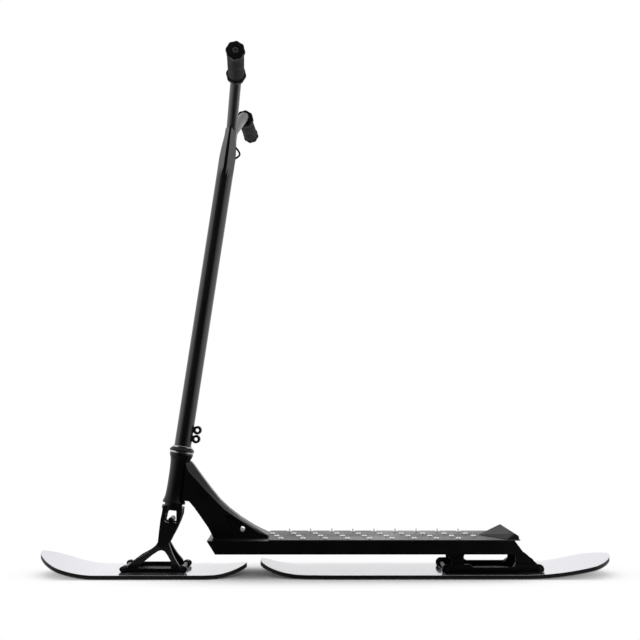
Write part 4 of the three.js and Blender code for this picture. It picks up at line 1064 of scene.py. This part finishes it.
def vector_math(tree, operation, inputs):
    """The outputs of one operation on a vector."""
    return add_node(tree, "VectorMath", {"operation": operation}, inputs).outputs


def pale_floor(colour):
    """Matt painted floor: white to the camera, with the scooter's soft shadow near it, and in reflections as
    bright as the room behind it, save near the scooter, where a painted shadow dims it."""
    material, tree = new_material("matt_studio_floor")
    cloud = speckle(tree, 400)
    matt = add_node(tree, "BsdfPrincipled", inputs={
        "Base Color": tinted(tree, cloud, colour, 0.99, 1.01), "Roughness": 0.9, "Specular IOR Level": 0.1})
    place = add_node(tree, "TexCoord").outputs["Object"]
    away = vector_math(tree, "LENGTH", {0: place})["Value"]
    bearing = vector_math(tree, "NORMALIZE", {0: place})["Vector"]
    across = add_node(tree, "SeparateXYZ", inputs={"Vector": bearing}).outputs["Y"]
    # In reflections the floor is an emission dimmed near the scooter: a painted shadow in place of the shadow that
    # the scooter casts on it
    glow = dimmed(tree, room_glow(tree, across), away, *FLOOR_REFLECTION_SHADE)
    white, mirrored = (add_node(tree, "Emission", inputs={"Strength": strength}).outputs["Emission"]
                       for strength in (1.0, glow))
    patch = vector_math(tree, "MULTIPLY", {0: place, 1: PATCH_STRETCH})["Vector"]
    fade = ranged(tree, vector_math(tree, "LENGTH", {0: patch})["Value"], *SHADOW_PATCH)
    seen = mixed_shader(tree, fade, matt.outputs["BSDF"], white)
    path = add_node(tree, "LightPath")
    other = mixed_shader(tree, path.outputs["Is Glossy Ray"], matt.outputs["BSDF"], mirrored)
    shader = mixed_shader(tree, path.outputs["Is Camera Ray"], other, seen)
    add_node(tree, "OutputMaterial", inputs={"Surface": shader})
    return material


class MakeStage(bpy.types.Operator):
    """Makes the floor, the soft lamp, the white surroundings and the camera"""

    bl_idname = "snow_scooter.stage"
    bl_label = "Stage"

    def execute(self, context):
        studio = context.scene.studio
        self.floor(context)
        self.lamp(studio)
        self.world(context, studio)
        self.camera(context, studio)
        context.scene.view_settings.view_transform = "Standard"
        return {"FINISHED"}

    def floor(self, context):
        """A wide floor a hair under the skis."""
        mesh = bpy.data.meshes.new("studio_floor")
        corners = [(x * FLOOR_REACH, y * FLOOR_REACH, -FLOOR_DEPTH) for x, y in FLOOR_CORNERS]
        mesh.from_pydata(corners, [], [(0, 1, 2, 3)])
        mesh.materials.append(pale_floor(tuple(context.scene.finishes.floor)))
        linked("studio_floor", mesh)

    def lamp(self, studio):
        """One wide lamp above, which reflections don't show."""
        light = bpy.data.lights.new("soft_lamp", "AREA")
        light.shape, light.size, light.energy = "SQUARE", studio.lamp_size, studio.lamp_power
        lamp = linked("soft_lamp", light)
        lamp.location = studio.lamp
        lamp.rotation_euler = Vector(LAMP_LEAN).to_track_quat("Z", "Y").to_euler()
        lamp.visible_glossy = False

    def world(self, context, studio):
        """White all round to the camera and in reflections, but reflections of the side in front of the
        scooter are dark, as an unlit room is. Diffuse light is even."""
        world = bpy.data.worlds.new("studio_room")
        context.scene.world = world
        world.use_nodes = True
        tree = world.node_tree
        tree.nodes.clear()
        direction = add_node(tree, "TexCoord").outputs["Generated"]
        heading = add_node(tree, "SeparateXYZ", inputs={"Vector": direction}).outputs
        room = dimmed(tree, room_glow(tree, heading["Y"]), heading["Z"], *ROOM_UP)
        path = add_node(tree, "LightPath").outputs
        mirrored = add_node(tree, "Mix", {"data_type": "FLOAT"}, {
            "Factor": path["Is Glossy Ray"], "A": studio.sky, "B": room}).outputs["Result"]
        seen = add_node(tree, "Math", {"operation": "MAXIMUM"}, {
            0: path["Is Camera Ray"], 1: path["Is Transmission Ray"]}).outputs["Value"]
        strength = add_node(tree, "Mix", {"data_type": "FLOAT"}, {
            "Factor": seen, "A": mirrored, "B": 1.0}).outputs["Result"]
        white = opaque((1, 1, 1))
        background = add_node(tree, "Background", inputs={"Color": white, "Strength": strength})
        add_node(tree, "OutputWorld", inputs={"Surface": background.outputs["Background"]})

    def camera(self, context, studio):
        """Forward = (sin yaw cos pitch, cos yaw cos pitch, sin pitch), then rolled about itself."""
        forward = Vector((math.sin(studio.yaw) * math.cos(studio.pitch),
                          math.cos(studio.yaw) * math.cos(studio.pitch), math.sin(studio.pitch)))
        right = forward.cross(Vector((0, 0, 1))).normalized()
        up = right.cross(forward)
        turn, lift = math.cos(studio.roll), math.sin(studio.roll)
        axes = (right * turn + up * lift, up * turn - right * lift, -forward)
        lens = bpy.data.cameras.new("camera")
        lens.lens, lens.sensor_width = studio.lens, SENSOR_WIDTH
        camera = linked("camera", lens)
        rotation = Matrix([list(axis) for axis in axes]).transposed().to_4x4()
        camera.matrix_world = Matrix.Translation(studio.camera) @ rotation
        context.scene.camera = camera


OPERATORS = (MakeStage, MakeSkis, MakeGripPlate, MakeMountPads, MakeChassis, MakeHead, MakeSteering,
             MakeHandlebar, MakeFasteners, FinishInnerParts)


class ScooterPanel(bpy.types.Panel):
    """Lists the scooter's steps in the sidebar"""

    bl_idname = "VIEW3D_PT_snow_scooter"
    bl_label = "Snow scooter"
    bl_space_type = "VIEW_3D"
    bl_region_type = "UI"
    bl_category = "Snow scooter"

    def draw(self, context):
        for operator in OPERATORS:
            self.layout.operator(operator.bl_idname)
        for group_name in GROUPS:
            box = self.layout.box()
            group = getattr(context.scene, group_name)
            for name in group.bl_rna.properties.keys():
                if name not in ("rna_type", "name"):
                    box.prop(group, name)


CLASSES = (*GROUPS.values(), *OPERATORS, ScooterPanel)


def register():
    for entry in CLASSES:
        bpy.utils.register_class(entry)
    for name, group in GROUPS.items():
        setattr(bpy.types.Scene, name, bpy.props.PointerProperty(type=group))


def unregister():
    for name in GROUPS:
        delattr(bpy.types.Scene, name)
    for entry in reversed(CLASSES):
        bpy.utils.unregister_class(entry)


def main():
    """Registers the add-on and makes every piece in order."""
    register()
    for operator in OPERATORS:
        getattr(bpy.ops.snow_scooter, operator.bl_idname.split(".")[1])()


if __name__ == "__main__":
    main()
